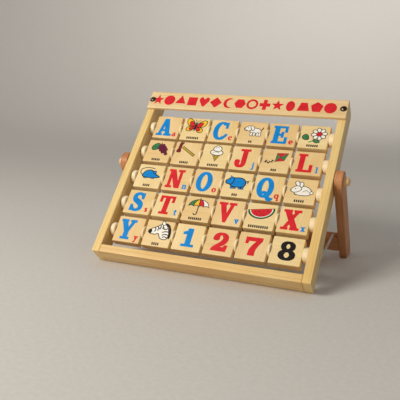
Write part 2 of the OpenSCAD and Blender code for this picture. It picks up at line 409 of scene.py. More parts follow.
# Bold slab letters: capital height 1, foot at y = 0.
def glyph(ch):
    S, T, Q = 0.22, 0.10, 0.10
    g = []

    def stem(x, y0=0.0, y1=1.0, w=S):
        return rect(x, y0, x + w, y1)

    def slab(x0, x1, y):
        return rect(x0, y, x1, y + Q)
    if ch == "A":
        g = poly((0.36, 1.0), (0.50, 1.0), (0.245, 0.05), (0.125, 0.05)) + poly((0.36, 1.0), (0.585, 1.0), (0.88, 0.05), (0.64, 0.05))
        g += rect(0.2, 0.26, 0.72, 0.36) + slab(0.0, 0.36, 0.0) + slab(0.53, 1.0, 0.0)
        return g, 1.0
    if ch == "B":
        g = stem(0.08) + slab(0.0, 0.45, 0) + slab(0.0, 0.45, 0.9) + rect(0.25, 0.46, 0.48, 0.55)
        g += band(0.44, 0.745, 0.33, 0.255, 0.2, 0.1, -90, 90) + band(0.44, 0.275, 0.39, 0.275, 0.21, 0.1, -90, 90)
        return g, 0.85
    if ch == "C":
        g = band(0.44, 0.5, 0.44, 0.53, 0.22, 0.1, 48, 312) + rect(0.71, 0.66, 0.80, 1.0) + poly((0.55, 1.02), (0.8, 0.9), (0.8, 0.72), (0.7, 0.84))
        g += line([(0.66, 0.12), (0.76, 0.2), (0.83, 0.31)], 0.08)
        return g, 0.84
    if ch == "D":
        g = stem(0.08) + slab(0.0, 0.42, 0) + slab(0.0, 0.42, 0.9) + band(0.38, 0.5, 0.52, 0.5, 0.23, 0.1, -90, 90)
        return g, 0.92
    if ch == "E":
        g = stem(0.08) + slab(0.0, 0.8, 0) + slab(0.0, 0.77, 0.9) + rect(0.28, 0.45, 0.56, 0.55)
        g += rect(0.68, 0.66, 0.77, 0.95) + rect(0.72, 0.05, 0.81, 0.36) + rect(0.5, 0.34, 0.58, 0.66)
        return g, 0.82
    if ch == "F":
        g = stem(0.08) + slab(0.0, 0.44, 0) + slab(0.0, 0.77, 0.9) + rect(0.28, 0.44, 0.56, 0.54)
        g += rect(0.68, 0.64, 0.77, 0.95) + rect(0.5, 0.33, 0.58, 0.65)
        return g, 0.78
    if ch == "G":
        g = band(0.44, 0.5, 0.44, 0.53, 0.22, 0.1, 48, 322) + rect(0.69, 0.66, 0.78, 1.0) + poly((0.55, 1.02), (0.78, 0.9), (0.78, 0.72), (0.68, 0.84))
        g += rect(0.62, 0.02, 0.83, 0.42) + slab(0.5, 0.94, 0.38)
        return g, 0.94
    if ch == "H":
        g = stem(0.08) + stem(0.66) + rect(0.28, 0.45, 0.68, 0.55)
        for x in (0.0, 0.58):
            g += slab(x, x + 0.38, 0) + slab(x, x + 0.38, 0.9)
        return g, 0.96
    if ch == "I":
        return stem(0.1) + slab(0.0, 0.42, 0) + slab(0.0, 0.42, 0.9), 0.42
    if ch == "J":
        g = stem(0.38, 0.26) + slab(0.22, 0.74, 0.9) + band(0.30, 0.27, 0.30, 0.29, 0.2, 0.11, 180, 360) + oval(0.12, 0.28, 0.12, 0.12)
        return g, 0.74
    if ch == "K":
        g = stem(0.08) + slab(0.0, 0.4, 0) + slab(0.0, 0.4, 0.9) + poly((0.26, 0.36), (0.26, 0.5), (0.70, 0.93), (0.83, 0.93))
        g += poly((0.36, 0.52), (0.52, 0.66), (0.94, 0.06), (0.68, 0.06)) + slab(0.54, 1.0, 0) + slab(0.56, 0.93, 0.9)
        return g, 1.0
    if ch == "L":
        g = stem(0.08) + slab(0.0, 0.78, 0) + slab(0.0, 0.42, 0.9) + rect(0.69, 0.05, 0.79, 0.40)
        return g, 0.8
    if ch == "M":
        g = stem(0.09, w=0.09) + stem(0.80) + poly((0.10, 1.0), (0.33, 1.0), (0.64, 0.22), (0.50, 0.0)) + poly((0.50, 0.0), (0.56, 0.2), (0.88, 1.0), (0.80, 1.0))
        g += slab(0.0, 0.3, 0) + slab(0.0, 0.3, 0.9) + slab(0.72, 1.1, 0) + slab(0.84, 1.1, 0.9)
        return g, 1.1
    if ch == "N":
        g = stem(0.10, w=0.1) + stem(0.70, w=0.1) + poly((0.06, 1.0), (0.32, 1.0), (0.80, 0.0), (0.58, 0.0))
        g += slab(0.0, 0.32, 0) + slab(0.0, 0.3, 0.9) + slab(0.58, 0.92, 0.9)
        return g, 0.92
    if ch == "O":
        return band(0.44, 0.5, 0.44, 0.52, 0.22, 0.1), 0.88
    if ch == "P":
        g = stem(0.08) + slab(0.0, 0.44, 0) + slab(0.0, 0.44, 0.9) + band(0.42, 0.7, 0.38, 0.3, 0.21, 0.1, -90, 90) + rect(0.28, 0.4, 0.43, 0.5)
        return g, 0.8
    if ch == "Q":
        g = band(0.44, 0.5, 0.44, 0.52, 0.22, 0.1) + line([(0.32, 0.2, 0.08), (0.46, 0.26, 0.1), (0.62, 0.06, 0.16), (0.78, -0.1, 0.14), (0.94, -0.02, 0.05)], 0.1)
        return g, 0.94
    if ch == "R":
        g = stem(0.08) + slab(0.0, 0.42, 0) + slab(0.0, 0.44, 0.9) + band(0.42, 0.725, 0.36, 0.275, 0.2, 0.1, -90, 90) + rect(0.28, 0.45, 0.45, 0.55)
        g += line([(0.46, 0.5, 0.16), (0.62, 0.4, 0.2), (0.68, 0.2, 0.2), (0.8, 0.05, 0.12), (0.94, 0.08, 0.05)], 0.2)
        return g, 0.94
    if ch == "S":
        g = line([(0.66, 0.78, 0.09), (0.52, 0.94, 0.1), (0.33, 0.965, 0.12), (0.15, 0.84, 0.17), (0.2, 0.64, 0.21), (0.42, 0.51, 0.23), (0.62, 0.37, 0.22),
                  (0.65, 0.17, 0.17), (0.48, 0.045, 0.12), (0.28, 0.05, 0.1), (0.12, 0.24, 0.09)], 0.2)
        g += rect(0.60, 0.68, 0.69, 1.0) + rect(0.06, 0.0, 0.15, 0.33)
        return g, 0.76
    if ch == "T":
        g = stem(0.31) + slab(0.0, 0.84, 0.9) + slab(0.17, 0.67, 0) + rect(0.0, 0.66, 0.09, 0.95) + rect(0.75, 0.66, 0.84, 0.95)
        return g, 0.84
    if ch == "U":
        g = stem(0.10, 0.3) + stem(0.68, 0.3, w=0.1) + slab(0.0, 0.42, 0.9) + slab(0.56, 0.9, 0.9)
        g += band(0.44, 0.32, 0.34, 0.34, 0.22, 0.13, 180, 280) + band(0.44, 0.32, 0.34, 0.34, 0.1, 0.13, 280, 360)
        return g, 0.9
    if ch == "V":
        g = poly((0.06, 0.98), (0.31, 0.98), (0.56, 0.14), (0.44, 0.0)) + poly((0.44, 0.0), (0.52, 0.0), (0.83, 0.98), (0.71, 0.98), (0.44, 0.1))
        g += slab(0.0, 0.42, 0.9) + slab(0.58, 0.94, 0.9)
        return g, 0.94
    if ch == "W":
        for x in (0.0, 0.42):
            g += poly((x + 0.04, 0.98), (x + 0.25, 0.98), (x + 0.42, 0.16), (x + 0.32, 0.0)) + poly((x + 0.32, 0.0), (x + 0.40, 0.0), (x + 0.60, 0.98), (x + 0.50, 0.98))
        g += slab(0.0, 0.34, 0.9) + slab(0.42, 0.74, 0.9) + slab(0.84, 1.12, 0.9)
        return g, 1.12
    if ch == "X":
        g = poly((0.04, 0.96), (0.30, 0.96), (0.84, 0.04), (0.58, 0.04)) + poly((0.66, 0.96), (0.78, 0.96), (0.20, 0.04), (0.08, 0.04))
        g += slab(0.0, 0.38, 0.9) + slab(0.54, 0.88, 0.9) + slab(0.0, 0.32, 0) + slab(0.48, 0.9, 0)
        return g, 0.9
    if ch == "Y":
        g = poly((0.02, 0.96), (0.28, 0.96), (0.53, 0.42), (0.34, 0.38)) + poly((0.68, 0.96), (0.80, 0.96), (0.54, 0.40), (0.44, 0.44)) + stem(0.33, 0, 0.48)
        g += slab(0.0, 0.36, 0.9) + slab(0.55, 0.88, 0.9) + slab(0.2, 0.68, 0)
        return g, 0.88
    if ch == "Z":
        g = poly((0.5, 0.94), (0.76, 0.94), (0.28, 0.06), (0.02, 0.06)) + slab(0.03, 0.76, 0.9) + slab(0.02, 0.78, 0) + rect(0.03, 0.66, 0.12, 0.95) + rect(0.69, 0.05, 0.79, 0.36)
        return g, 0.8
    if ch == "1":
        g = stem(0.2) + slab(0.02, 0.60, 0) + poly((0.0, 0.78), (0.2, 0.86), (0.24, 1.0), (0.42, 1.0), (0.42, 0.74), (0.0, 0.68))
        return g, 0.62
    if ch == "2":
        g = band(0.36, 0.70, 0.34, 0.31, 0.21, 0.1, -18, 168) + oval(0.135, 0.70, 0.125, 0.125)
        g += line([(0.60, 0.62, 0.2), (0.46, 0.42, 0.18), (0.22, 0.24, 0.12), (0.05, 0.06, 0.08)], 0.2)
        g += poly((0.0, 0.0), (0.68, 0.0), (0.72, 0.32), (0.64, 0.32), (0.58, 0.2), (0.08, 0.2))
        return g, 0.74
    if ch == "3":
        g = band(0.34, 0.745, 0.32, 0.255, 0.2, 0.09, -90, 165) + oval(0.13, 0.76, 0.11, 0.11) + rect(0.24, 0.49, 0.36, 0.58)
        g += band(0.34, 0.275, 0.37, 0.275, 0.22, 0.09, -165, 90) + oval(0.12, 0.23, 0.12, 0.12)
        return g, 0.72
    if ch == "4":
        g = stem(0.42) + slab(0.28, 0.76, 0) + rect(0.0, 0.26, 0.78, 0.36) + poly((0.44, 1.0), (0.6, 1.0), (0.12, 0.32), (0.0, 0.32))
        return g, 0.78
    if ch == "5":
        g = rect(0.1, 0.44, 0.18, 0.98) + poly((0.1, 1.0), (0.62, 1.0), (0.66, 0.82), (0.1, 0.82)) + band(0.33, 0.32, 0.36, 0.32, 0.22, 0.1, -165, 125) + oval(0.12, 0.24, 0.12, 0.12)
        return g, 0.7
    if ch == "6":
        g = band(0.38, 0.31, 0.37, 0.32, 0.2, 0.09) + line([(0.12, 0.34, 0.22), (0.14, 0.62, 0.2), (0.3, 0.88, 0.14), (0.52, 0.95, 0.1)], 0.2) + oval(0.58, 0.84, 0.115, 0.115)
        return g, 0.76
    if ch == "7":
        g = poly((0.0, 0.98), (0.74, 0.98), (0.74, 0.86), (0.56, 0.8), (0.1, 0.8), (0.06, 0.64), (0.0, 0.64)) + line([(0.69, 0.88, 0.12), (0.5, 0.6, 0.17), (0.37, 0.3, 0.23), (0.35, 0.0, 0.26)], 0.2)
        return g, 0.76
    if ch == "8":
        g = band(0.37, 0.745, 0.30, 0.26, 0.17, 0.09) + band(0.37, 0.27, 0.36, 0.275, 0.2, 0.09)
        return g, 0.74
    # small letters, x-height about 0.66
    if ch == "a":
        g = band(0.26, 0.2, 0.26, 0.21, 0.13, 0.07) + rect(0.40, 0.0, 0.54, 0.46) + band(0.31, 0.45, 0.23, 0.21, 0.14, 0.08, 0, 150) + rect(0.40, 0.0, 0.66, 0.08)
        return g, 0.66
    if ch == "b":
        return rect(0.06, 0, 0.2, 1.0) + rect(0, 0.92, 0.2, 1.0) + band(0.34, 0.33, 0.28, 0.33, 0.14, 0.08), 0.62
    if ch == "c":
        return band(0.3, 0.33, 0.3, 0.34, 0.15, 0.08, 50, 315) + oval(0.44, 0.50, 0.09, 0.09), 0.58
    if ch == "d":
        return rect(0.42, 0, 0.56, 1.0) + rect(0.34, 0.92, 0.56, 1.0) + rect(0.42, 0, 0.64, 0.08) + band(0.28, 0.33, 0.28, 0.33, 0.14, 0.08), 0.64
    if ch == "e":
        return band(0.3, 0.33, 0.3, 0.34, 0.15, 0.08, 0, 318) + rect(0.08, 0.29, 0.58, 0.37), 0.6
    if ch == "f":
        return rect(0.14, 0, 0.28, 0.8) + rect(0, 0.58, 0.42, 0.66) + band(0.33, 0.78, 0.19, 0.21, 0.14, 0.08, 30, 180) + rect(0.04, 0, 0.38, 0.08), 0.5
    if ch == "g":
        return band(0.28, 0.40, 0.24, 0.25, 0.12, 0.07) + band(0.28, -0.05, 0.28, 0.2, 0.1, 0.08) + rect(0.44, 0.56, 0.62, 0.66) + rect(0.1, 0.1, 0.34, 0.18), 0.62
    if ch == "h":
        return rect(0.06, 0, 0.2, 1.0) + rect(0, 0.92, 0.2, 1.0) + band(0.34, 0.42, 0.24, 0.24, 0.14, 0.1, 0, 150) + rect(0.44, 0, 0.58, 0.42) + rect(0, 0, 0.27, 0.08) + rect(0.37, 0, 0.64, 0.08), 0.64
    if ch == "i":
        return rect(0.08, 0, 0.22, 0.66) + rect(0, 0, 0.3, 0.08) + rect(0, 0.58, 0.2, 0.66) + oval(0.15, 0.86, 0.09, 0.09), 0.3
    if ch == "j":
        return rect(0.18, -0.1, 0.32, 0.66) + rect(0.1, 0.58, 0.32, 0.66) + oval(0.25, 0.86, 0.09, 0.09) + band(0.12, -0.1, 0.2, 0.18, 0.13, 0.08, 200, 360), 0.34
    if ch == "k":
        return rect(0.06, 0, 0.2, 1.0) + rect(0, 0.92, 0.2, 1.0) + poly((0.18, 0.2), (0.18, 0.32), (0.46, 0.62), (0.6, 0.62)) + poly((0.26, 0.38), (0.38, 0.48), (0.64, 0.0), (0.46, 0.0)), 0.64
    if ch == "l":
        return rect(0.08, 0, 0.22, 1.0) + rect(0, 0, 0.3, 0.08) + rect(0, 0.92, 0.2, 1.0), 0.3
    if ch == "m":
        g = rect(0.06, 0, 0.2, 0.66) + rect(0, 0.58, 0.2, 0.66)
        for x in (0.3, 0.62):
            g += band(x, 0.42, 0.2, 0.24, 0.13, 0.1, 0, 150) + rect(x + 0.07, 0, x + 0.2, 0.42)
        return g + rect(0, 0, 0.9, 0.07), 0.9
    if ch == "n":
        return rect(0.06, 0, 0.2, 0.66) + rect(0, 0.58, 0.2, 0.66) + band(0.34, 0.42, 0.24, 0.24, 0.14, 0.1, 0, 150) + rect(0.44, 0, 0.58, 0.42) + rect(0, 0, 0.27, 0.08) + rect(0.37, 0, 0.64, 0.08), 0.64
    if ch == "o":
        return band(0.3, 0.33, 0.3, 0.34, 0.15, 0.08), 0.6
    if ch == "p":
        return rect(0.06, -0.32, 0.2, 0.66) + rect(0, 0.58, 0.2, 0.66) + rect(0, -0.34, 0.28, -0.26) + band(0.34, 0.33, 0.28, 0.33, 0.14, 0.08), 0.62
    if ch == "q":
        return rect(0.42, -0.32, 0.56, 0.66) + rect(0.34, -0.34, 0.64, -0.26) + band(0.28, 0.33, 0.28, 0.33, 0.14, 0.08), 0.64
    if ch == "r":
        return rect(0.08, 0, 0.22, 0.66) + rect(0, 0.58, 0.2, 0.66) + rect(0, 0, 0.32, 0.08) + line([(0.2, 0.42), (0.3, 0.58), (0.42, 0.6)], 0.08) + oval(0.42, 0.54, 0.09, 0.09), 0.5
    if ch == "s":
        return line([(0.42, 0.52, 0.06), (0.3, 0.62, 0.09), (0.12, 0.52, 0.12), (0.26, 0.35, 0.15), (0.42, 0.2, 0.13), (0.28, 0.05, 0.09), (0.08, 0.14, 0.06)], 0.1), 0.5
    if ch == "t":
        return rect(0.14, 0.14, 0.28, 0.9) + rect(0, 0.58, 0.42, 0.66) + band(0.30, 0.17, 0.16, 0.17, 0.13, 0.08, 180, 330), 0.46
    if ch == "u":
        return rect(0.06, 0.22, 0.2, 0.66) + rect(0, 0.58, 0.2, 0.66) + band(0.3, 0.24, 0.24, 0.25, 0.14, 0.1, 180, 330) + rect(0.44, 0, 0.58, 0.66) + rect(0.36, 0.58, 0.58, 0.66) + rect(0.44, 0, 0.66, 0.08), 0.66
    if ch == "v":
        return poly((0.04, 0.64), (0.2, 0.64), (0.36, 0.1), (0.28, 0.0)) + poly((0.28, 0.0), (0.36, 0.0), (0.54, 0.64), (0.44, 0.64)) + rect(0, 0.58, 0.27, 0.66) + rect(0.36, 0.58, 0.6, 0.66), 0.6
    if ch == "w":
        g = []
        for x in (0.0, 0.28):
            g += poly((x + 0.03, 0.64), (x + 0.17, 0.64), (x + 0.29, 0.1), (x + 0.22, 0.0)) + poly((x + 0.22, 0.0), (x + 0.29, 0.0), (x + 0.42, 0.64), (x + 0.33, 0.64))
        return g + rect(0, 0.58, 0.23, 0.66) + rect(0.54, 0.58, 0.78, 0.66), 0.78
    if ch == "x":
        return poly((0.03, 0.64), (0.2, 0.64), (0.54, 0.02), (0.38, 0.02)) + poly((0.42, 0.64), (0.5, 0.64), (0.14, 0.02), (0.06, 0.02)) + rect(0, 0.58, 0.24, 0.66) + rect(0.35, 0.58, 0.56, 0.66) + rect(0, 0, 0.22, 0.08) + rect(0.32, 0, 0.58, 0.08), 0.58
    if ch == "y":
        return poly((0.04, 0.64), (0.2, 0.64), (0.38, 0.1), (0.29, 0.0)) + poly((0.47, 0.64), (0.55, 0.64), (0.24, -0.3), (0.13, -0.3)) + rect(0, 0.58, 0.27, 0.66) + rect(0.38, 0.58, 0.62, 0.66) + oval(0.12, -0.24, 0.09, 0.09), 0.62
    if ch == "z":
        return poly((0.36, 0.6), (0.52, 0.6), (0.18, 0.06), (0.02, 0.06)) + rect(0.02, 0.58, 0.52, 0.66) + rect(0.02, 0.0, 0.53, 0.08) + rect(0.02, 0.46, 0.09, 0.6) + rect(0.46, 0.06, 0.53, 0.2), 0.54
    raise ValueError(ch)


def put(polys, colour, dx=0.0, dy=0.0, s=1.0, sx=None, lean=0.0):
    sx = s if sx is None else sx
    return [(colour, [(dx + sx * x + lean * s * y, dy + s * y) for x, y in p]) for p in polys]


# copies that thicken the strokes
BOLD = ((-0.026, -0.012), (-0.026, 0.012), (0.0, 0.0), (0.026, -0.012), (0.026, 0.012))


def letter_face(big, colour, small, small_colour):
    """A capital at the left with its small letter at the lower right."""
    g, w = glyph(big)
    h = 0.755
    sx = min(0.56 / w, 0.60)
    out = []
    for dx, dy in BOLD:
        out += put(g, colour, -0.085 - sx * w / 2 + dx, -0.378 + dy, h, sx)
    g, w = glyph(small)
    for dx, dy in BOLD:
        out += put(g, small_colour, 0.345 - 0.13 * w + dx * 0.38, -0.385 + dy * 0.5, 0.245, 0.236)
    return out


def digit_face(ch, colour):
    g, w = glyph(ch)
    h, sx = 0.66, 0.68
    out = []
    for dx, dy in BOLD:
        out += put(g, colour, 0.02 - sx * w / 2 + dx, -h / 2 + dy * 1.3, h, sx)
    return out


def caption(n, x=0.0, y=-0.375):
    """A plain row of short upright dashes under a picture."""
    out = []
    for i in range(n):
        cx = x + (i - (n - 1) / 2) * 0.062
        out += [("ink", p) for p in rect(cx - 0.021, y - 0.044, cx + 0.021, y + 0.044)]
    return out

# ---------------------------------------------------------------- pictures
def fill(colour, polys, edge=0.02, edge_colour="ink"):
    """Filled outlines with a dark line round each."""
    out = []
    for p in polys:
        out.append((colour, p))
    if edge:
        for p in polys:
            out += [(edge_colour, q) for q in strip(p, edge * 1.25, True)]
    return out


def ink(pts, w=0.02, k=6, colour="ink"):
    return [(colour, q) for q in line([(p[0], p[1]) for p in pts], w * 1.2, k)]


def dot(x, y, r, colour="ink"):
    return [(colour, p) for p in oval(x, y, r, r, 12)]


def mirrored(layers, x0=0.0):
    return [(c, [(2 * x0 - x, y) for x, y in p]) for c, p in layers]


def moved(layers, dx=0.0, dy=0.0, s=1.0, rot=0.0):
    c, sn = math.cos(math.radians(rot)) * s, math.sin(math.radians(rot)) * s
    return [(k, [(dx + x * c - y * sn, dy + x * sn + y * c) for x, y in p]) for k, p in layers]


def pic_butterfly():
    wing = fill("yellow", blob([(0.02, 0.02), (0.10, 0.22), (0.25, 0.33), (0.36, 0.30), (0.35, 0.16), (0.24, 0.04)]))
    wing += fill("red", blob([(0.02, 0.02), (0.09, 0.17), (0.19, 0.24), (0.25, 0.19), (0.21, 0.06), (0.12, 0.0)]), 0.014)
    wing += fill("yellow", blob([(0.02, 0.0), (0.16, 0.02), (0.28, -0.03), (0.30, -0.14), (0.19, -0.19), (0.08, -0.12)]))
    wing += fill("red", blob([(0.02, 0.0), (0.13, 0.0), (0.21, -0.05), (0.19, -0.12), (0.10, -0.12)]), 0.014)
    wing += ink([(0.01, 0.16), (0.04, 0.27), (0.10, 0.33)], 0.016)
    out = wing + mirrored(wing)
    out += [("ink", p) for p in oval(0, 0.0, 0.028, 0.17)] + dot(0, 0.17, 0.04)
    return moved(out, -0.01, 0.06, 0.98, -6) + caption(7)


def pic_dog():
    out = fill("white", blob([(-0.06, 0.10), (0.06, 0.15), (0.2, 0.13), (0.29, 0.08), (0.31, -0.03), (0.26, -0.10), (0.02, -0.10), (-0.08, -0.04)]), 0.02)
    for x in (-0.02, 0.08, 0.2, 0.28):
        out += fill("white", blob([(x - 0.035, -0.06), (x - 0.035, -0.19), (x + 0.035, -0.19), (x + 0.035, -0.06)]), 0.016)
    out += fill("white", blob([(-0.01, 0.16), (-0.11, 0.24), (-0.20, 0.22), (-0.30, 0.13), (-0.31, 0.06), (-0.22, 0.02), (-0.10, 0.02)]), 0.02)
    out += fill("white", blob([(-0.10, 0.22), (-0.02, 0.24), (0.05, 0.14), (0.02, 0.02), (-0.05, 0.08)]), 0.018)
    out += dot(-0.18, 0.15, 0.018) + dot(-0.30, 0.11, 0.026) + ink([(-0.27, 0.05), (-0.21, 0.06)], 0.014)
    out += ink([(0.29, 0.06), (0.35, 0.12), (0.36, 0.2)], 0.03)
    return moved(out, -0.01, 0.05, 0.92) + caption(2)


def pic_flower():
    out = ink([(0.08, 0.0), (0.0, -0.16), (-0.14, -0.24)], 0.03, colour="green")
    out += fill("green", blob([(-0.02, -0.15), (0.10, -0.13), (0.20, -0.21), (0.07, -0.25)]), 0.016)
    out += fill("green", blob([(-0.16, -0.12), (-0.20, 0.04), (-0.30, 0.07), (-0.37, -0.04), (-0.29, -0.14)]), 0.018)
    out += ink([(-0.18, -0.12), (-0.28, 0.0)], 0.012)
    for i in range(8):
        a = 45 * i + 10
        c, s = math.cos(math.radians(a)), math.sin(math.radians(a))
        out += fill("white", oval(0.14 + 0.165 * c, 0.11 + 0.165 * s, 0.085, 0.066, 20, a), 0.018)
    out += fill("red", oval(0.14, 0.11, 0.085, 0.085), 0.014)
    return out + caption(6)


def pic_grapes():
    out = fill("green", blob([(-0.02, 0.2), (-0.10, 0.28), (-0.24, 0.22), (-0.31, 0.08), (-0.24, -0.03), (-0.10, 0.0), (-0.03, 0.08)]), 0.018)
    out += ink([(-0.02, 0.16), (-0.14, 0.14), (-0.24, 0.1)], 0.012)
    for x, y in ((0.0, 0.18), (0.1, 0.2), (-0.02, 0.07), (0.08, 0.09), (0.18, 0.11), (0.06, -0.02), (0.16, 0.0), (0.25, 0.02), (0.15, -0.1), (0.24, -0.09), (0.29, -0.17)):
        out += fill("plum", oval(x, y, 0.06, 0.06, 18), 0.014)
    out += ink([(0.03, 0.22), (0.0, 0.32)], 0.026)
    return moved(out, 0.0, 0.05, 0.95) + caption(5)


def pic_hammer():
    out = fill("straw", poly((-0.22, 0.17), (-0.18, 0.23), (0.31, -0.09), (0.27, -0.16)), 0.016)
    out += fill("maroon", blob([(-0.33, 0.04), (-0.26, 0.04), (-0.24, 0.34), (-0.31, 0.35)], 3), 0.02)
    out += fill("maroon", blob([(-0.36, -0.01), (-0.25, -0.02), (-0.24, 0.07), (-0.35, 0.08)], 3), 0.02)
    out += fill("maroon", blob([(-0.32, 0.29), (-0.24, 0.28), (-0.19, 0.37), (-0.27, 0.36)], 3), 0.018)
    return moved(out, 0.0, 0.04, 1.0) + caption(5)


def pic_icecream():
    out = fill("straw", poly((-0.10, 0.0), (0.16, 0.0), (0.03, -0.27)), 0.02)
    for a, b in (((-0.05, -0.01), (0.06, -0.2)), ((0.04, -0.01), (0.1, -0.13)), ((0.11, -0.01), (0.0, -0.2)), ((0.02, -0.01), (-0.04, -0.13))):
        out += [("ink", q) for q in strip([a, b], 0.01)]
    out += fill("white", blob([(-0.15, 0.02), (-0.19, 0.11), (-0.10, 0.18), (0.02, 0.17), (0.14, 0.18), (0.24, 0.1), (0.20, 0.01), (0.03, -0.03)]), 0.02)
    out += fill("white", blob([(-0.10, 0.17), (-0.10, 0.28), (0.02, 0.36), (0.15, 0.29), (0.16, 0.17), (0.03, 0.13)]), 0.02)
    out += ink([(-0.06, 0.25), (0.02, 0.29), (0.08, 0.27)], 0.012) + ink([(-0.10, 0.07), (0.0, 0.11), (0.12, 0.07)], 0.012)
    return moved(out, 0.0, 0.04, 0.98) + caption(6)


def pic_kite():
    a, b, c, d, m = (-0.02, -0.12), (0.0, 0.22), (0.36, 0.24), (0.26, -0.06), (0.11, 0.07)
    out = [("green", [a, b, m]), ("red", [b, c, m]), ("green", [c, d, m]), ("red", [d, a, m])]
    out += [("ink", q) for q in strip([a, b, c, d], 0.018, True)] + [("ink", q) for q in strip([a, c], 0.012)] + [("ink", q) for q in strip([b, d], 0.012)]
    out += ink([(-0.02, -0.12), (-0.10, -0.10), (-0.2, -0.17), (-0.3, -0.13), (-0.38, -0.17)], 0.014)
    for x, y, r in ((-0.11, -0.11, 10), (-0.21, -0.165, -15), (-0.31, -0.13, 20)):
        out += moved([("ink", p) for p in poly((0, 0), (0.05, 0.045), (0.05, -0.045)) + poly((0, 0), (-0.05, 0.045), (-0.05, -0.045))], x, y, 1.0, 70 + r)
    return moved(out, 0.0, 0.07, 0.98) + caption(3)


def pic_mouse():
    out = [("ink", q) for q in line([(-0.20, -0.02), (-0.33, 0.04), (-0.36, 0.18), (-0.24, 0.27), (-0.04, 0.29), (0.12, 0.26)], 0.026)]
    out += fill("blue", blob([(-0.25, -0.06), (-0.20, 0.12), (-0.04, 0.20), (0.12, 0.14), (0.22, 0.04), (0.36, -0.05), (0.22, -0.09), (0.0, -0.1)]), 0.026)
    out += fill("blue", oval(0.15, 0.12, 0.05, 0.06, 16), 0.018) + dot(0.25, 0.0, 0.014) + dot(0.36, -0.05, 0.018)
    for x in (-0.14, 0.12):
        out += fill("blue", blob([(x - 0.05, -0.09), (x + 0.05, -0.09), (x + 0.06, -0.13), (x - 0.04, -0.13)]), 0.014)
    return moved(out, 0.0, 0.03, 1.0) + caption(4)


def pic_pig():
    out = []
    for x in (-0.15, -0.05, 0.12, 0.21):
        out += fill("blue", poly((x - 0.04, -0.10), (x + 0.04, -0.10), (x + 0.035, -0.23), (x - 0.035, -0.23)), 0.018)
    out += fill("blue", blob([(-0.27, 0.02), (-0.24, 0.14), (-0.10, 0.19), (0.10, 0.2), (0.25, 0.12), (0.29, -0.02), (0.22, -0.13), (0.0, -0.16), (-0.18, -0.13)]), 0.027)
    out += fill("blue", blob([(-0.13, 0.18), (-0.25, 0.19), (-0.33, 0.10), (-0.38, 0.08), (-0.38, -0.02), (-0.30, -0.06), (-0.16, -0.04)]), 0.026)
    out += fill("blue", poly((-0.24, 0.17), (-0.27, 0.27), (-0.16, 0.20)), 0.016) + dot(-0.25, 0.10, 0.016) + dot(-0.37, 0.045, 0.012) + dot(-0.37, 0.01, 0.012)
    out += ink([(0.28, 0.04), (0.33, 0.1), (0.38, 0.06), (0.34, 0.02), (0.34, 0.1), (0.42, 0.12)], 0.016)
    return moved(out, -0.01, 0.06, 0.95) + caption(3)


def pic_rabbit():
    out = fill("white", blob([(-0.16, 0.0), (-0.02, 0.13), (0.16, 0.13), (0.30, 0.02), (0.31, -0.13), (0.18, -0.2), (-0.08, -0.2), (-0.2, -0.14)]), 0.018)
    out += fill("white", blob([(-0.08, 0.10), (-0.10, 0.24), (-0.02, 0.31), (0.04, 0.22), (0.0, 0.10)]), 0.018)
    out += fill("white", blob([(-0.15, 0.12), (-0.23, 0.26), (-0.17, 0.33), (-0.09, 0.25), (-0.08, 0.12)]), 0.018)
    out += fill("white", blob([(-0.06, 0.13), (-0.19, 0.14), (-0.31, 0.03), (-0.33, -0.05), (-0.22, -0.11), (-0.07, -0.06), (0.0, 0.03)]), 0.018)
    out += fill("white", oval(0.33, -0.08, 0.055, 0.055, 16), 0.016) + dot(-0.2, 0.04, 0.018) + dot(-0.325, -0.02, 0.018)
    out += ink([(0.05, -0.08), (0.16, 0.0), (0.24, -0.06)], 0.012) + ink([(-0.10, -0.19), (-0.16, -0.2), (-0.20, -0.16)], 0.012)
    return moved(out, 0.0, 0.03, 0.95) + caption(5)


def pic_umbrella():
    out = ink([(0.0, 0.14), (0.0, -0.24)], 0.026, 4) + ink([(0.0, -0.2), (-0.01, -0.27), (-0.07, -0.29), (-0.11, -0.24)], 0.026)
    top = [(0.34 * math.cos(math.radians(a)), 0.02 + 0.27 * math.sin(math.radians(a))) for a in range(0, 181, 12)]
    cuts = ((-0.34, -0.17, "green"), (-0.17, 0.0, "yellow"), (0.0, 0.17, "red"), (0.17, 0.34, "white"))
    for x0, x1, c in cuts:
        edge = [(x0 + (x1 - x0) * i / 6, 0.02 + 0.045 * math.sin(math.pi * i / 6)) for i in range(7)]
        k0, k1 = x0 / 0.34, x1 / 0.34
        arc = []
        for i in range(9):
            k = k1 + (k0 - k1) * i / 8
            arc.append((0.34 * k, 0.02 + 0.27 * math.sqrt(max(0.0, 1 - k * k))))
        if x0 >= 0:
            side0 = [(0.34 * k0 * math.sin(math.radians(t)), 0.02 + 0.27 * math.cos(math.radians(t))) for t in range(0, 91, 15)]
            side1 = [(0.34 * k1 * math.sin(math.radians(t)), 0.02 + 0.27 * math.cos(math.radians(t))) for t in range(90, -1, -15)]
            shape = side0 + edge[1:-1] + side1
        else:
            side0 = [(0.34 * k1 * math.sin(math.radians(t)), 0.02 + 0.27 * math.cos(math.radians(t))) for t in range(90, -1, -15)]
            side1 = [(0.34 * k0 * math.sin(math.radians(t)), 0.02 + 0.27 * math.cos(math.radians(t))) for t in range(0, 91, 15)]
            shape = side1 + edge[1:-1] + side0
        out += fill(c, [shape], 0.018)
    out += ink([(0, 0.28), (0, 0.35)], 0.024, 3)
    return moved(out, 0.0, 0.05, 0.98) + caption(7)


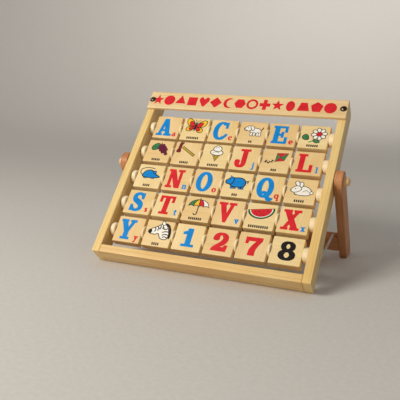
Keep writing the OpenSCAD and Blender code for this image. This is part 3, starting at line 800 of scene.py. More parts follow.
def pic_watermelon():
    def half(r, y, n=20):
        return [(r * math.cos(math.pi + math.pi * i / n), y + r * 0.82 * math.sin(math.pi + math.pi * i / n)) for i in range(n + 1)]
    out = fill("green", [half(0.40, 0.15)], 0.02) + [("white", half(0.35, 0.15))] + [("red", half(0.325, 0.15))]
    for x, y in ((-0.2, 0.07), (-0.08, 0.08), (0.06, 0.08), (0.2, 0.07), (-0.14, -0.02), (0.0, -0.01), (0.14, -0.02), (-0.05, -0.08), (0.07, -0.08)):
        out += [("ink", p) for p in oval(x, y, 0.011, 0.02, 8)]
    return moved(out, 0.0, 0.09, 1.0, 9) + caption(10)


def pic_zebra():
    out = fill("white", blob([(0.30, -0.26), (0.10, -0.24), (0.0, -0.08), (-0.12, -0.12), (-0.30, -0.10), (-0.36, -0.02), (-0.30, 0.06), (-0.12, 0.16), (0.04, 0.27), (0.18, 0.27), (0.30, 0.12), (0.36, -0.1)]), 0.022)
    out += fill("white", blob([(0.06, 0.25), (0.04, 0.37), (0.12, 0.38), (0.16, 0.27)]), 0.018)
    out += ink([(0.17, 0.3), (0.28, 0.25), (0.36, 0.12), (0.40, -0.08), (0.38, -0.22)], 0.06)
    for pts in ([(0.28, 0.14), (0.18, 0.1), (0.08, 0.14)], [(0.33, 0.02), (0.22, 0.02), (0.12, -0.02)], [(0.35, -0.1), (0.24, -0.08), (0.14, -0.12)], [(0.34, -0.2), (0.24, -0.17), (0.16, -0.2)],
                [(0.0, 0.24), (0.03, 0.16), (0.0, 0.08)], [(-0.08, 0.18), (-0.04, 0.1), (-0.06, 0.02)], [(-0.16, 0.13), (-0.13, 0.06), (-0.15, -0.02)], [(0.1, 0.24), (0.1, 0.18), (0.16, 0.14)]):
        out += ink(pts, 0.028)
    out += fill("ink", blob([(-0.27, 0.05), (-0.36, 0.0), (-0.35, -0.08), (-0.27, -0.1), (-0.24, -0.02)]), 0) + dot(-0.0, 0.13, 0.022)
    return moved(out, 0.0, 0.06, 0.95) + caption(4)


def pic_apple():
    out = fill("red", blob([(0, 0.13), (0.12, 0.18), (0.25, 0.1), (0.27, -0.06), (0.18, -0.2), (0.06, -0.25), (0, -0.22), (-0.06, -0.25), (-0.18, -0.2), (-0.27, -0.06), (-0.25, 0.1), (-0.12, 0.18)]))
    out += ink([(0, 0.13), (0.02, 0.24), (0.08, 0.31)], 0.03) + fill("green", blob([(0.06, 0.24), (0.16, 0.33), (0.28, 0.32), (0.2, 0.22)]), 0.016)
    return moved(out, 0, 0.04) + caption(5)


def pic_cup():
    out = [("ink", q) for q in band(0.17, 0.02, 0.15, 0.13, 0.06, 0.06, -100, 100)] + [("blue", q) for q in band(0.17, 0.02, 0.135, 0.115, 0.03, 0.03, -100, 100)]
    out += fill("blue", poly((-0.22, 0.2), (0.2, 0.2), (0.14, -0.2), (-0.16, -0.2))) + fill("white", oval(-0.01, 0.2, 0.21, 0.05), 0.018)
    return moved(out, -0.03, 0.04) + caption(3)


def pic_egg():
    return moved(fill("white", blob([(0, 0.27), (0.14, 0.18), (0.22, 0.0), (0.2, -0.15), (0.1, -0.25), (0, -0.27), (-0.1, -0.25), (-0.2, -0.15), (-0.22, 0.0), (-0.14, 0.18)]), 0.022)
                 + ink([(-0.1, 0.12), (-0.14, 0.02)], 0.016), 0, 0.05, 0.98) + caption(3)


def pic_jar():
    out = fill("yellow", blob([(-0.18, 0.12), (-0.2, -0.2), (-0.12, -0.26), (0.12, -0.26), (0.2, -0.2), (0.18, 0.12), (0.1, 0.17), (-0.1, 0.17)], 3))
    out += fill("red", poly((-0.14, 0.15), (0.14, 0.15), (0.14, 0.27), (-0.14, 0.27)), 0.018) + fill("white", poly((-0.1, -0.14), (0.1, -0.14), (0.1, 0.04), (-0.1, 0.04)), 0.014)
    return moved(out, 0, 0.04) + caption(3)


def pic_leaf():
    out = fill("green", blob([(-0.24, -0.2), (-0.24, 0.04), (-0.06, 0.22), (0.26, 0.28), (0.24, 0.02), (0.06, -0.16)]))
    out += ink([(-0.32, -0.28), (-0.1, -0.06), (0.2, 0.22)], 0.022)
    for t in (0.2, 0.45, 0.7):
        x, y = -0.24 + 0.46 * t, -0.2 + 0.44 * t
        out += ink([(x, y), (x + 0.02, y + 0.12)], 0.014, 3) + ink([(x, y), (x + 0.12, y + 0.0)], 0.014, 3)
    return moved(out, 0, 0.05, 0.98) + caption(4)


def pic_nut():
    out = fill("straw", blob([(-0.16, 0.08), (-0.15, -0.1), (-0.06, -0.22), (0.0, -0.28), (0.06, -0.22), (0.15, -0.1), (0.16, 0.08)]))
    out += fill("maroon", blob([(-0.21, 0.06), (-0.17, 0.2), (0, 0.25), (0.17, 0.2), (0.21, 0.06), (0, 0.02)])) + ink([(0, 0.24), (0.03, 0.33)], 0.04, 3)
    return moved(out, 0, 0.04, 1.0, -12) + caption(3)


def pic_orange():
    out = fill("amber", oval(0, -0.02, 0.23, 0.22, 30), 0.02) + fill("green", blob([(0.0, 0.2), (0.1, 0.3), (0.23, 0.28), (0.14, 0.2)]), 0.016) + ink([(0, 0.17), (0, 0.26)], 0.024, 3)
    for x, y in ((-0.1, 0.05), (0.06, -0.08), (-0.04, -0.12), (0.11, 0.05)):
        out += dot(x, y, 0.01)
    return moved(out, 0, 0.03) + caption(6)


def pic_crown():
    out = fill("yellow", poly((-0.28, -0.16), (0.28, -0.16), (0.33, 0.18), (0.16, 0.02), (0.0, 0.26), (-0.16, 0.02), (-0.33, 0.18)), 0.022)
    out += fill("red", poly((-0.28, -0.2), (0.28, -0.2), (0.28, -0.1), (-0.28, -0.1)), 0.016)
    for x, y in ((-0.33, 0.2), (0.0, 0.28), (0.33, 0.2)):
        out += fill("blue", oval(x, y, 0.035, 0.035, 12), 0.012)
    return moved(out, 0, 0.06, 0.95) + caption(5)


def pic_sun():
    out = []
    for i in range(12):
        out += moved(fill("amber", poly((0.17, 0.045), (0.29, 0.0), (0.17, -0.045)), 0.014), 0, 0, 1, 30 * i)
    return moved(out + fill("yellow", oval(0, 0, 0.18, 0.18, 30), 0.02), 0, 0.06) + caption(3)


def pic_tree():
    out = fill("maroon", poly((-0.05, -0.27), (0.06, -0.27), (0.04, 0.0), (-0.03, 0.0)), 0.018)
    out += fill("green", blob([(-0.2, -0.04), (-0.27, 0.07), (-0.19, 0.18), (-0.12, 0.27), (0.02, 0.31), (0.15, 0.25), (0.22, 0.15), (0.27, 0.04), (0.17, -0.05), (0.0, -0.02)]))
    return moved(out, 0, 0.04) + caption(4)


def pic_vase():
    out = fill("blue", blob([(-0.1, 0.12), (-0.08, 0.04), (-0.19, -0.08), (-0.15, -0.25), (0.15, -0.25), (0.19, -0.08), (0.08, 0.04), (0.1, 0.12)], 4))
    for x, c in ((-0.12, "red"), (0.0, "yellow"), (0.12, "red")):
        out = ink([(x * 0.4, 0.1), (x, 0.24)], 0.016, 3, "green") + out + fill(c, oval(x, 0.27 - abs(x) * 0.3, 0.055, 0.055, 16), 0.014)
    return moved(out, 0, 0.03) + caption(4)


def pic_xylophone():
    out = []
    for i, c in enumerate(("red", "amber", "yellow", "green", "blue")):
        h = 0.24 - 0.03 * i
        x = -0.24 + 0.12 * i
        out += fill(c, poly((x - 0.045, -h), (x + 0.045, -h), (x + 0.045, h), (x - 0.045, h)), 0.016)
    out += ink([(-0.3, 0.12), (0.3, 0.06)], 0.018, 3) + ink([(-0.3, -0.12), (0.3, -0.06)], 0.018, 3)
    return moved(out, 0, 0.05) + caption(8)


def pic_yoyo():
    out = ink([(0.05, 0.05), (0.12, 0.24), (0.02, 0.33)], 0.014)
    out += fill("red", oval(0, -0.05, 0.21, 0.21, 30), 0.022) + fill("yellow", oval(0, -0.05, 0.1, 0.1, 20), 0.016)
    return moved(out, 0, 0.04) + caption(4)


FRONTS = [
    [("A", "blue", "a"), pic_butterfly, ("C", "blue", "c"), pic_dog, ("E", "blue", "e"), pic_flower],
    [pic_grapes, pic_hammer, pic_icecream, ("J", "red", "j"), pic_kite, ("L", "red", "l")],
    [pic_mouse, ("N", "red", "n"), ("O", "blue", "o"), pic_pig, ("Q", "blue", "q"), pic_rabbit],
    [("S", "blue", "s"), ("T", "red", "t"), pic_umbrella, ("V", "red", "v"), pic_watermelon, ("X", "red", "x")],
    [("Y", "blue", "y"), pic_zebra, ("1", "blue"), ("2", "red"), ("7", "red"), ("8", "ink")],
]
BACKS = [
    [pic_apple, ("B", "red", "b"), pic_cup, ("D", "red", "d"), pic_egg, ("F", "blue", "f")],
    [("G", "blue", "g"), ("H", "blue", "h"), ("I", "red", "i"), pic_jar, ("K", "red", "k"), pic_leaf],
    [("M", "blue", "m"), pic_nut, pic_orange, ("P", "red", "p"), pic_crown, ("R", "blue", "r")],
    [pic_sun, pic_tree, ("U", "blue", "u"), pic_vase, ("W", "blue", "w"), pic_xylophone],
    [pic_yoyo, ("Z", "red", "z"), ("5", "red"), ("6", "blue"), ("3", "ink"), ("4", "blue")],
]


def face_layers(design):
    if callable(design):
        return moved(design(), 0.0, 0.012, 1.09)
    if len(design) == 2:
        return digit_face(*design)
    big, colour, small = design
    return letter_face(big, colour, small, "red" if colour == "blue" else "blue")

# ---------------------------------------------------------------- materials
def lin(r, g, b):
    """A colour from 0-255 screen values."""
    return tuple(((c / 255) / 12.92 if c / 255 <= 0.04045 else ((c / 255 + 0.055) / 1.055) ** 2.4) for c in (r, g, b)) + (1.0,)


class Nodes:
    def __init__(self, name):
        self.m = bpy.data.materials.new(name)
        self.m.use_nodes = True
        self.t = self.m.node_tree
        self.bsdf = self.t.nodes["Principled BSDF"]

    def add(self, kind, **values):
        n = self.t.nodes.new(kind)
        for k, v in values.items():
            if k in ("inputs",):
                for key, val in v.items():
                    n.inputs[key].default_value = val
            else:
                setattr(n, k, v)
        return n

    def link(self, a, b):
        self.t.links.new(a, b)
        return b

    def ramp(self, fac, stops, interpolation="LINEAR"):
        n = self.t.nodes.new("ShaderNodeValToRGB")
        n.color_ramp.interpolation = interpolation
        el = n.color_ramp.elements
        while len(el) < len(stops):
            el.new(0.5)
        for e, (p, c) in zip(el, stops):
            e.position = p
            e.color = c if len(c) == 4 else tuple(c) + (1.0,)
        self.link(fac, n.inputs["Fac"])
        return n.outputs["Color"]

    def mix(self, a, b, fac, kind="MIX"):
        n = self.t.nodes.new("ShaderNodeMix")
        n.data_type, n.blend_type = "RGBA", kind
        for sock, v in ((n.inputs[0], fac), (n.inputs[6], a), (n.inputs[7], b)):
            if isinstance(v, (float, int)):
                sock.default_value = v
            elif isinstance(v, tuple):
                sock.default_value = v
            else:
                self.link(v, sock)
        return n.outputs[2]

    def math(self, op, a, b=None, clamp=False):
        n = self.t.nodes.new("ShaderNodeMath")
        n.operation, n.use_clamp = op, clamp
        for i, v in enumerate((a, b)):
            if v is None:
                continue
            if isinstance(v, (float, int)):
                n.inputs[i].default_value = v
            else:
                self.link(v, n.inputs[i])
        return n.outputs[0]


def wood(name, light, mid, dark, grain="Z", seed=0, ring=0.0024, ring_k=0.5, fibre_k=0.35, blotch_k=0.35,
         rough=0.42, coat=0.25, coat_rough=0.22, bump=0.25, plane=None, extra=None, spec=0.4, inside=None):
    """Wood whose grain runs along one of the object's own axes. light, mid and dark are its tones, ring the spacing of its growth rings."""
    w = Nodes(name)
    rnd = random.Random(seed * 7919 + 13)
    tc = w.add("ShaderNodeTexCoord")
    # grain axis to X
    rot = {"X": (0, 0, 0), "Y": (0, 0, -math.pi / 2), "Z": (0, math.pi / 2, 0)}[grain]
    vec = tc.outputs["Object"]
    if inside:
        # the piece stands in the object's axes, its grain in this turned frame
        back = inside.inverted()
        local = w.add("ShaderNodeMapping", vector_type="POINT", inputs={"Location": tuple(back.to_translation()), "Rotation": tuple(back.to_euler("XYZ"))})
        w.link(vec, local.inputs["Vector"])
        vec = local.outputs["Vector"]
    turn = w.add("ShaderNodeMapping", vector_type="POINT", inputs={"Rotation": rot})
    w.link(vec, turn.inputs["Vector"])
    # the log's centre lies off to one side and drifts along the stick
    off = plane or (rnd.uniform(-0.02, 0.02), rnd.uniform(0.03, 0.07))
    move = w.add("ShaderNodeMapping", vector_type="POINT", inputs={
        "Location": (rnd.uniform(0, 3), off[0], off[1]), "Rotation": (0, rnd.uniform(-0.012, 0.012), rnd.uniform(-0.015, 0.015))})
    w.link(turn.outputs["Vector"], move.inputs["Vector"])
    # slow wander of the rings
    slow = w.add("ShaderNodeMapping", vector_type="POINT", inputs={"Scale": (9.0, 60.0, 60.0)})
    w.link(move.outputs["Vector"], slow.inputs["Vector"])
    n1 = w.add("ShaderNodeTexNoise", noise_dimensions="3D", inputs={"Scale": 1.0, "Detail": 2.0, "Roughness": 0.5})
    w.link(slow.outputs["Vector"], n1.inputs["Vector"])
    sep = w.add("ShaderNodeSeparateXYZ")
    w.link(move.outputs["Vector"], sep.inputs["Vector"])
    yy = w.math("MULTIPLY", sep.outputs["Y"], sep.outputs["Y"])
    zz = w.math("MULTIPLY", sep.outputs["Z"], sep.outputs["Z"])
    rad = w.math("SQRT", w.math("ADD", yy, zz))
    wander = w.math("MULTIPLY", w.math("SUBTRACT", n1.outputs["Fac"], 0.5), ring * 3.2)
    phase = w.math("DIVIDE", w.math("ADD", rad, wander), ring)
    saw = w.math("FRACT", phase)
    rings = w.ramp(saw, [(0.0, (0.15, 0.15, 0.15)), (0.45, (0.35, 0.35, 0.35)), (0.80, (0.9, 0.9, 0.9)), (0.92, (1, 1, 1)), (1.0, (0.15, 0.15, 0.15))])
    # strength of the rings varies from ring to ring
    which = w.add("ShaderNodeTexWhiteNoise", noise_dimensions="1D")
    w.link(w.math("FLOOR", phase), which.inputs["W"])
    strength = w.math("MULTIPLY_ADD", which.outputs["Value"], 0.7)
    strength.node.inputs[2].default_value = 0.3
    ring_fac = w.math("MULTIPLY", w.math("MULTIPLY", rings, strength), ring_k)
    # fibres
    fine = w.add("ShaderNodeMapping", vector_type="POINT", inputs={"Scale": (70.0, 2600.0, 2600.0)})
    w.link(move.outputs["Vector"], fine.inputs["Vector"])
    n2 = w.add("ShaderNodeTexNoise", noise_dimensions="3D", inputs={"Scale": 1.0, "Detail": 3.0, "Roughness": 0.6})
    w.link(fine.outputs["Vector"], n2.inputs["Vector"])
    medium = w.add("ShaderNodeMapping", vector_type="POINT", inputs={"Scale": (22.0, 420.0, 420.0)})
    w.link(move.outputs["Vector"], medium.inputs["Vector"])
    n3 = w.add("ShaderNodeTexNoise", noise_dimensions="3D", inputs={"Scale": 1.0, "Detail": 3.0, "Roughness": 0.55})
    w.link(medium.outputs["Vector"], n3.inputs["Vector"])
    # broad warm and pale areas
    broad = w.add("ShaderNodeMapping", vector_type="POINT", inputs={"Scale": (14.0, 38.0, 38.0)})
    w.link(move.outputs["Vector"], broad.inputs["Vector"])
    n4 = w.add("ShaderNodeTexNoise", noise_dimensions="3D", inputs={"Scale": 1.0, "Detail": 2.0, "Roughness": 0.5})
    w.link(broad.outputs["Vector"], n4.inputs["Vector"])
    base = w.mix(light, mid, w.math("MULTIPLY", w.ramp(n4.outputs["Fac"], [(0.35, (0, 0, 0)), (0.68, (1, 1, 1))]), blotch_k * 2, clamp=True))
    base = w.mix(base, dark, ring_fac)
    streak = w.ramp(n3.outputs["Fac"], [(0.42, (0, 0, 0)), (0.75, (1, 1, 1))])
    base = w.mix(base, dark, w.math("MULTIPLY", streak, fibre_k * 0.9))
    hair = w.ramp(n2.outputs["Fac"], [(0.50, (0, 0, 0)), (0.72, (1, 1, 1))])
    base = w.mix(base, dark, w.math("MULTIPLY", hair, fibre_k))
    if extra:
        base = extra(w, vec, base)
    w.link(base, w.bsdf.inputs["Base Color"])
    r = w.math("MULTIPLY_ADD", n3.outputs["Fac"], 0.18)
    r.node.inputs[2].default_value = rough - 0.09
    w.link(r, w.bsdf.inputs["Roughness"])
    w.bsdf.inputs["Coat Weight"].default_value = coat
    w.bsdf.inputs["Coat Roughness"].default_value = coat_rough
    w.bsdf.inputs["Specular IOR Level"].default_value = spec
    height = w.math("ADD", w.math("MULTIPLY", n2.outputs["Fac"], 0.5), w.math("MULTIPLY", rings, 0.25))
    b = w.add("ShaderNodeBump", inputs={"Strength": bump, "Distance": 0.00012})
    w.link(height, b.inputs["Height"])
    w.link(b.outputs["Normal"], w.bsdf.inputs["Normal"])
    return w.m


def paint(name, colour, dark, seed=0, rough=0.38, worn=0.12, under=None):
    """Printed ink on wood: thin, a little uneven, with the fibres just showing."""
    w = Nodes(name)
    tc = w.add("ShaderNodeTexCoord")
    m = w.add("ShaderNodeMapping", vector_type="POINT", inputs={"Location": (seed * 0.37, 0, seed * 0.11), "Scale": (260.0, 1500.0, 1500.0)})
    w.link(tc.outputs["Object"], m.inputs["Vector"])
    n = w.add("ShaderNodeTexNoise", noise_dimensions="3D", inputs={"Scale": 1.0, "Detail": 4.0, "Roughness": 0.6})
    w.link(m.outputs["Vector"], n.inputs["Vector"])
    m2 = w.add("ShaderNodeMapping", vector_type="POINT", inputs={"Location": (seed * 0.53, 0, 0), "Scale": (120.0, 120.0, 120.0)})
    w.link(tc.outputs["Object"], m2.inputs["Vector"])
    n2 = w.add("ShaderNodeTexNoise", noise_dimensions="3D", inputs={"Scale": 1.0, "Detail": 2.0, "Roughness": 0.5})
    w.link(m2.outputs["Vector"], n2.inputs["Vector"])
    base = w.mix(colour, dark, w.ramp(n2.outputs["Fac"], [(0.4, (0, 0, 0)), (0.75, (0.8, 0.8, 0.8))]))
    thin = w.math("MULTIPLY", w.ramp(n.outputs["Fac"], [(0.60, (0, 0, 0)), (0.80, (1, 1, 1))]), worn)
    base = w.mix(base, under or lin(225, 195, 140), thin)
    w.link(base, w.bsdf.inputs["Base Color"])
    r = w.math("MULTIPLY_ADD", n.outputs["Fac"], 0.16)
    r.node.inputs[2].default_value = rough - 0.08
    w.link(r, w.bsdf.inputs["Roughness"])
    w.bsdf.inputs["Specular IOR Level"].default_value = 0.16
    b = w.add("ShaderNodeBump", inputs={"Strength": 0.2, "Distance": 0.00006})
    w.link(n.outputs["Fac"], b.inputs["Height"])
    w.link(b.outputs["Normal"], w.bsdf.inputs["Normal"])
    return w.m


def steel(name):
    """Browned steel, lighter and darker in fine random patches."""
    w = Nodes(name)
    tc = w.add("ShaderNodeTexCoord")
    m = w.add("ShaderNodeMapping", vector_type="POINT", inputs={"Scale": (900.0, 900.0, 900.0)})
    w.link(tc.outputs["Object"], m.inputs["Vector"])
    n = w.add("ShaderNodeTexNoise", noise_dimensions="3D", inputs={"Scale": 1.0, "Detail": 4.0, "Roughness": 0.6})
    w.link(m.outputs["Vector"], n.inputs["Vector"])
    base = w.ramp(n.outputs["Fac"], [(0.35, lin(64, 52, 42)), (0.6, lin(104, 88, 70)), (0.8, lin(150, 134, 112))])
    w.link(base, w.bsdf.inputs["Base Color"])
    w.bsdf.inputs["Metallic"].default_value = 1.0
    w.link(w.ramp(n.outputs["Fac"], [(0.3, (0.38, 0.38, 0.38)), (0.8, (0.24, 0.24, 0.24))]), w.bsdf.inputs["Roughness"])
    b = w.add("ShaderNodeBump", inputs={"Strength": 0.15, "Distance": 0.00005})
    w.link(n.outputs["Fac"], b.inputs["Height"])
    w.link(b.outputs["Normal"], w.bsdf.inputs["Normal"])
    return w.m


def cotton(name, low, mid, high):
    """Soft cotton yarn with a fine fibre twist."""
    w = Nodes(name)
    tc = w.add("ShaderNodeTexCoord")
    m = w.add("ShaderNodeMapping", vector_type="POINT", inputs={"Rotation": (0.6, 0.3, 0.2), "Scale": (3000.0, 900.0, 5200.0)})
    w.link(tc.outputs["Object"], m.inputs["Vector"])
    n = w.add("ShaderNodeTexNoise", noise_dimensions="3D", inputs={"Scale": 1.0, "Detail": 4.0, "Roughness": 0.65})
    w.link(m.outputs["Vector"], n.inputs["Vector"])
    w.link(w.ramp(n.outputs["Fac"], [(0.3, low), (0.55, mid), (0.8, high)]), w.bsdf.inputs["Base Color"])
    w.bsdf.inputs["Roughness"].default_value = 0.85
    w.bsdf.inputs["Sheen Weight"].default_value = 0.35
    w.bsdf.inputs["Sheen Roughness"].default_value = 0.5
    b = w.add("ShaderNodeBump", inputs={"Strength": 0.6, "Distance": 0.00018})
    w.link(n.outputs["Fac"], b.inputs["Height"])
    w.link(b.outputs["Normal"], w.bsdf.inputs["Normal"])
    return w.m


PAINTS = {
    "blue": paint("ink_blue", lin(0, 138, 216), lin(0, 121, 199), 1, rough=0.52),
    "red": paint("ink_red", lin(222, 38, 48), lin(202, 28, 40), 2, rough=0.5),
    "ink": paint("ink_black", lin(30, 24, 24), lin(20, 16, 16), 3, rough=0.5, worn=0.04),
    "white": paint("ink_white", lin(250, 246, 236), lin(240, 232, 216), 4),
    "yellow": paint("ink_yellow", lin(246, 200, 52), lin(232, 180, 40), 5),
    "green": paint("ink_green", lin(64, 134, 84), lin(48, 112, 70), 6),
    "plum": paint("ink_plum", lin(122, 34, 66), lin(96, 24, 50), 7),
    "maroon": paint("ink_maroon", lin(160, 38, 40), lin(130, 28, 32), 8),
    "straw": paint("ink_straw", lin(196, 168, 62), lin(176, 146, 48), 9),
    "amber": paint("ink_amber", lin(240, 150, 36), lin(220, 128, 28), 10),
}
PAINT_ORDER = list(PAINTS)

# ---------------------------------------------------------------- printed layers as thin closed slabs
def printed(design_layers, to_3d, lift=0.00007, sink=0.00008):
    """verts, faces and colour indices of a design. to_3d(u, v, h) gives the point at height h over the face."""
    coords, faces, colours = [], [], []
    simple = []
    for colour, p in design_layers:
        if len(p) == 4:
            # a quad that crosses itself or is hollow becomes two triangles
            turns = [(p[(i + 1) % 4][0] - p[i][0]) * (p[(i + 2) % 4][1] - p[(i + 1) % 4][1]) - (p[(i + 1) % 4][1] - p[i][1]) * (p[(i + 2) % 4][0] - p[(i + 1) % 4][0]) for i in range(4)]
            if min(turns) < 0 < max(turns):
                simple += [(colour, [p[0], p[1], p[2]]), (colour, [p[0], p[2], p[3]])]
                continue
        simple.append((colour, p))
    for colour, p in simple:
        q = [p[0]]
        for a in p[1:]:
            if math.hypot(a[0] - q[-1][0], a[1] - q[-1][1]) > 1e-5:
                q.append(a)
        if len(q) > 2 and math.hypot(q[0][0] - q[-1][0], q[0][1] - q[-1][1]) < 1e-5:
            q.pop()
        if len(q) < 3:
            continue
        area = sum(q[i][0] * q[(i + 1) % len(q)][1] - q[(i + 1) % len(q)][0] * q[i][1] for i in range(len(q)))
        if abs(area) < 1e-9:
            continue
        if area < 0:
            q.reverse()
        k = len(coords)
        coords += [Vector((a[0], a[1])) for a in q]
        faces.append(list(range(k, k + len(q))))
        colours.append(PAINT_ORDER.index(colour))
    v2, _, tris, _, _, owner = geometry.delaunay_2d_cdt(coords, [], faces, 1, 1e-5)
    keep = [(t, colours[max(o)]) for t, o in zip(tris, owner) if o]
    # triangles of one colour are merged into larger faces
    bm = bmesh.new()
    vs = [bm.verts.new((p.x, p.y, 0)) for p in v2]
    for t, c in keep:
        try:
            f = bm.faces.new([vs[i] for i in t])
            f.material_index = c
        except ValueError:
            pass
    loose = [v for v in bm.verts if not v.link_faces]
    bmesh.ops.delete(bm, geom=loose, context="VERTS")
    bmesh.ops.dissolve_limit(bm, angle_limit=0.01, verts=bm.verts, edges=bm.edges, delimit={"MATERIAL"})
    bmesh.ops.triangulate(bm, faces=bm.faces)
    bm.verts.ensure_lookup_table()
    top = {v: i for i, v in enumerate(bm.verts)}
    n = len(top)
    verts = [to_3d(v.co.x, v.co.y, lift) for v in bm.verts] + [to_3d(v.co.x, v.co.y, -sink) for v in bm.verts]
    out, slots = [], []
    for f in bm.faces:
        ids = [top[v] for v in f.verts]
        out.append(tuple(ids))
        slots.append(f.material_index)
        out.append(tuple(i + n for i in reversed(ids)))
        slots.append(f.material_index)
    for e in bm.edges:
        if len(e.link_faces) == 1:
            lp = e.link_loops[0]
            a, b = top[lp.vert], top[lp.link_loop_next.vert]
            out.append((b, a, a + n, b + n))
            slots.append(e.link_faces[0].material_index)
    bm.free()
    return verts, out, slots


def print_mesh(name, parts):
    verts, faces, slots = [], [], []
    for v, f, s in parts:
        k = len(verts)
        verts += v
        faces += [tuple(i + k for i in q) for q in f]
        slots += s
    used = sorted(set(slots))
    me = new_mesh(name, verts, faces, [used.index(s) for s in slots])
    return me, [PAINTS[PAINT_ORDER[i]] for i in used]


# ---------------------------------------------------------------- blocks
def block_mesh():
    h, t, z = BLOCK / 2, BLOCK_T / 2, BLOCK_H / 2
    me = rounded_bar(-h, h, [(-t, -z), (t, -z), (t, z), (-t, z)], 0.0009, 4)
    r = ROD_R + RUN
    prof = [(-h - 0.001, 0.0), (-h - 0.001, r + 0.0005), (-h + 0.00035, r), (h - 0.00035, r), (h + 0.001, r + 0.0005), (h + 0.001, 0.0)]
    v, f = lathe(prof, "X", 32)
    me = cut(me, [outward(new_mesh("bore", v, f))])
    return me


block_base = block_mesh()
BLOCK_WOODS = []
for k in range(10):
    rnd = random.Random(100 + k)
    d = rnd.uniform(-7, 7)
    BLOCK_WOODS.append(wood("block_wood_%d" % k, lin(244 + d * 0.5, 217 + d, 160 + d), lin(236 + d * 0.5, 203 + d, 140 + d), lin(200, 150, 90),
                            grain="X" if k % 2 else "Z", seed=20 + k, ring=rnd.uniform(0.0022, 0.0040), ring_k=0.20, fibre_k=0.12, blotch_k=0.50,
                            rough=0.45, coat=0.12, bump=0.18))
row_frame = {}
for i in range(1, 6):
    row_frame[i] = BOARD @ Matrix.Translation((0, ROD_IN, ROD_LOW + (5 - i) * PITCH_Z))
    for j in range(1, 7):
        name = "%d%d" % (i, j)
        m = row_frame[i] @ Matrix.Rotation(math.radians(TURN[i - 1][j - 1]), 4, "X") @ Matrix.Translation(((j - 3.5) * PITCH_X, 0, 0))
        me = block_base.copy()
        smooth_shade(me)
        piece("block_body_" + name, me, m, "block_" + name, [BLOCK_WOODS[(i * 7 + j * 3) % 10]], ["block_" + name])
        front = printed(face_layers(FRONTS[i - 1][j - 1]), lambda u, v, h: (u * BLOCK, -BLOCK_T / 2 - h, v * BLOCK_H))
        back = printed(face_layers(BACKS[i - 1][j - 1]), lambda u, v, h: (u * BLOCK, BLOCK_T / 2 + h, -v * BLOCK_H))
        pm, mats = print_mesh("print_" + name, [front, back])
        piece("print_" + name, pm, m, "block_" + name, mats)

# ---------------------------------------------------------------- spacers
spacer_wood = wood("spacer_wood", lin(255, 240, 204), lin(250, 228, 180), lin(214, 170, 112), grain="X", seed=3, ring=0.0016, ring_k=0.30, fibre_k=0.15,
                   rough=0.46, coat=0.18, coat_rough=0.34, bump=0.12, spec=0.3, plane=(0.004, 0.011))


def spacer_profile(x, t, edge):
    r0, r1 = ROD_R + RUN, SPACER_R
    e = min(edge, t / 2 - 0.0001)
    out = [(x, r0 + 0.0003), (x, r1 - e)]
    for k in range(1, 7):
        a = math.pi / 2 * k / 6
        out.append((x + e - e * math.cos(a), r1 - e + e * math.sin(a)))
    for k in range(6):
        a = math.pi / 2 * (1 - k / 6)
        out.append((x + t - e + e * math.cos(a), r1 - e + e * math.sin(a)))
    out += [(x + t, r1 - e), (x + t, r0 + 0.0003), (x + t - 0.0003, r0), (x + 0.0003, r0)]
    clean = [out[0]]
    for p in out[1:]:
        if math.hypot(p[0] - clean[-1][0], p[1] - clean[-1][1]) > 1e-6:
            clean.append(p)
    return clean


end_gap = (INNER_W - 5 * PITCH_X - BLOCK) / 2
for i in range(1, 6):
    parts = []
    for k in range(-2, 3):
        parts.append(lathe(spacer_profile(k * PITCH_X - BLOCK_GAP / 2 + PLAY, BLOCK_GAP - 2 * PLAY, 0.0011), "X", 56))
    parts.append(lathe(spacer_profile(-INNER_W / 2 + PLAY, end_gap - 2 * PLAY, 0.0014), "X", 56))
    parts.append(lathe(spacer_profile(INNER_W / 2 - end_gap + PLAY, end_gap - 2 * PLAY, 0.0014), "X", 56))
    v, f = join(parts)
    me = outward(new_mesh("spacers", v, f))
    smooth_shade(me, 50)
    piece("beads_%d" % i, me, row_frame[i], "spacer_row_%d" % i, [spacer_wood], ["spacers_%d" % i])

# ---------------------------------------------------------------- rods keep their own shape
rod_wood = wood("rod_wood", lin(226, 192, 134), lin(212, 172, 110), lin(160, 112, 62), grain="X", seed=4, ring=0.0014, ring_k=0.4, fibre_k=0.3, rough=0.5, coat=0.0)
for i in range(1, 6):
    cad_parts["rod_%d" % i].data.materials.clear()
    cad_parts["rod_%d" % i].data.materials.append(rod_wood)


# ---------------------------------------------------------------- frame
def fleck(w, vec, base):
    """Small bright nicks where the varnish is knocked off the long upper front edge of the rail."""
    sep = w.add("ShaderNodeSeparateXYZ")
    w.link(vec, sep.inputs["Vector"])
    near_top = w.math("SUBTRACT", 1.0, w.math("MULTIPLY", w.math("ABSOLUTE", w.math("SUBTRACT", sep.outputs["Z"], RAIL_H)), 900.0), clamp=True)
    near_front = w.math("SUBTRACT", 1.0, w.math("MULTIPLY", w.math("ABSOLUTE", sep.outputs["Y"]), 500.0), clamp=True)
    m = w.add("ShaderNodeMapping", vector_type="POINT", inputs={"Scale": (230.0, 600.0, 600.0), "Location": (0.4, 0, 0)})
    w.link(vec, m.inputs["Vector"])
    n = w.add("ShaderNodeTexNoise", noise_dimensions="3D", inputs={"Scale": 1.0, "Detail": 2.0, "Roughness": 0.6})
    w.link(m.outputs["Vector"], n.inputs["Vector"])
    spots = w.ramp(n.outputs["Fac"], [(0.60, (0, 0, 0)), (0.68, (1, 1, 1))])
    fac = w.math("MULTIPLY", w.math("MULTIPLY", near_top, near_front), spots)
    return w.mix(base, lin(255, 246, 214), w.math("MULTIPLY", fac, 1.0))


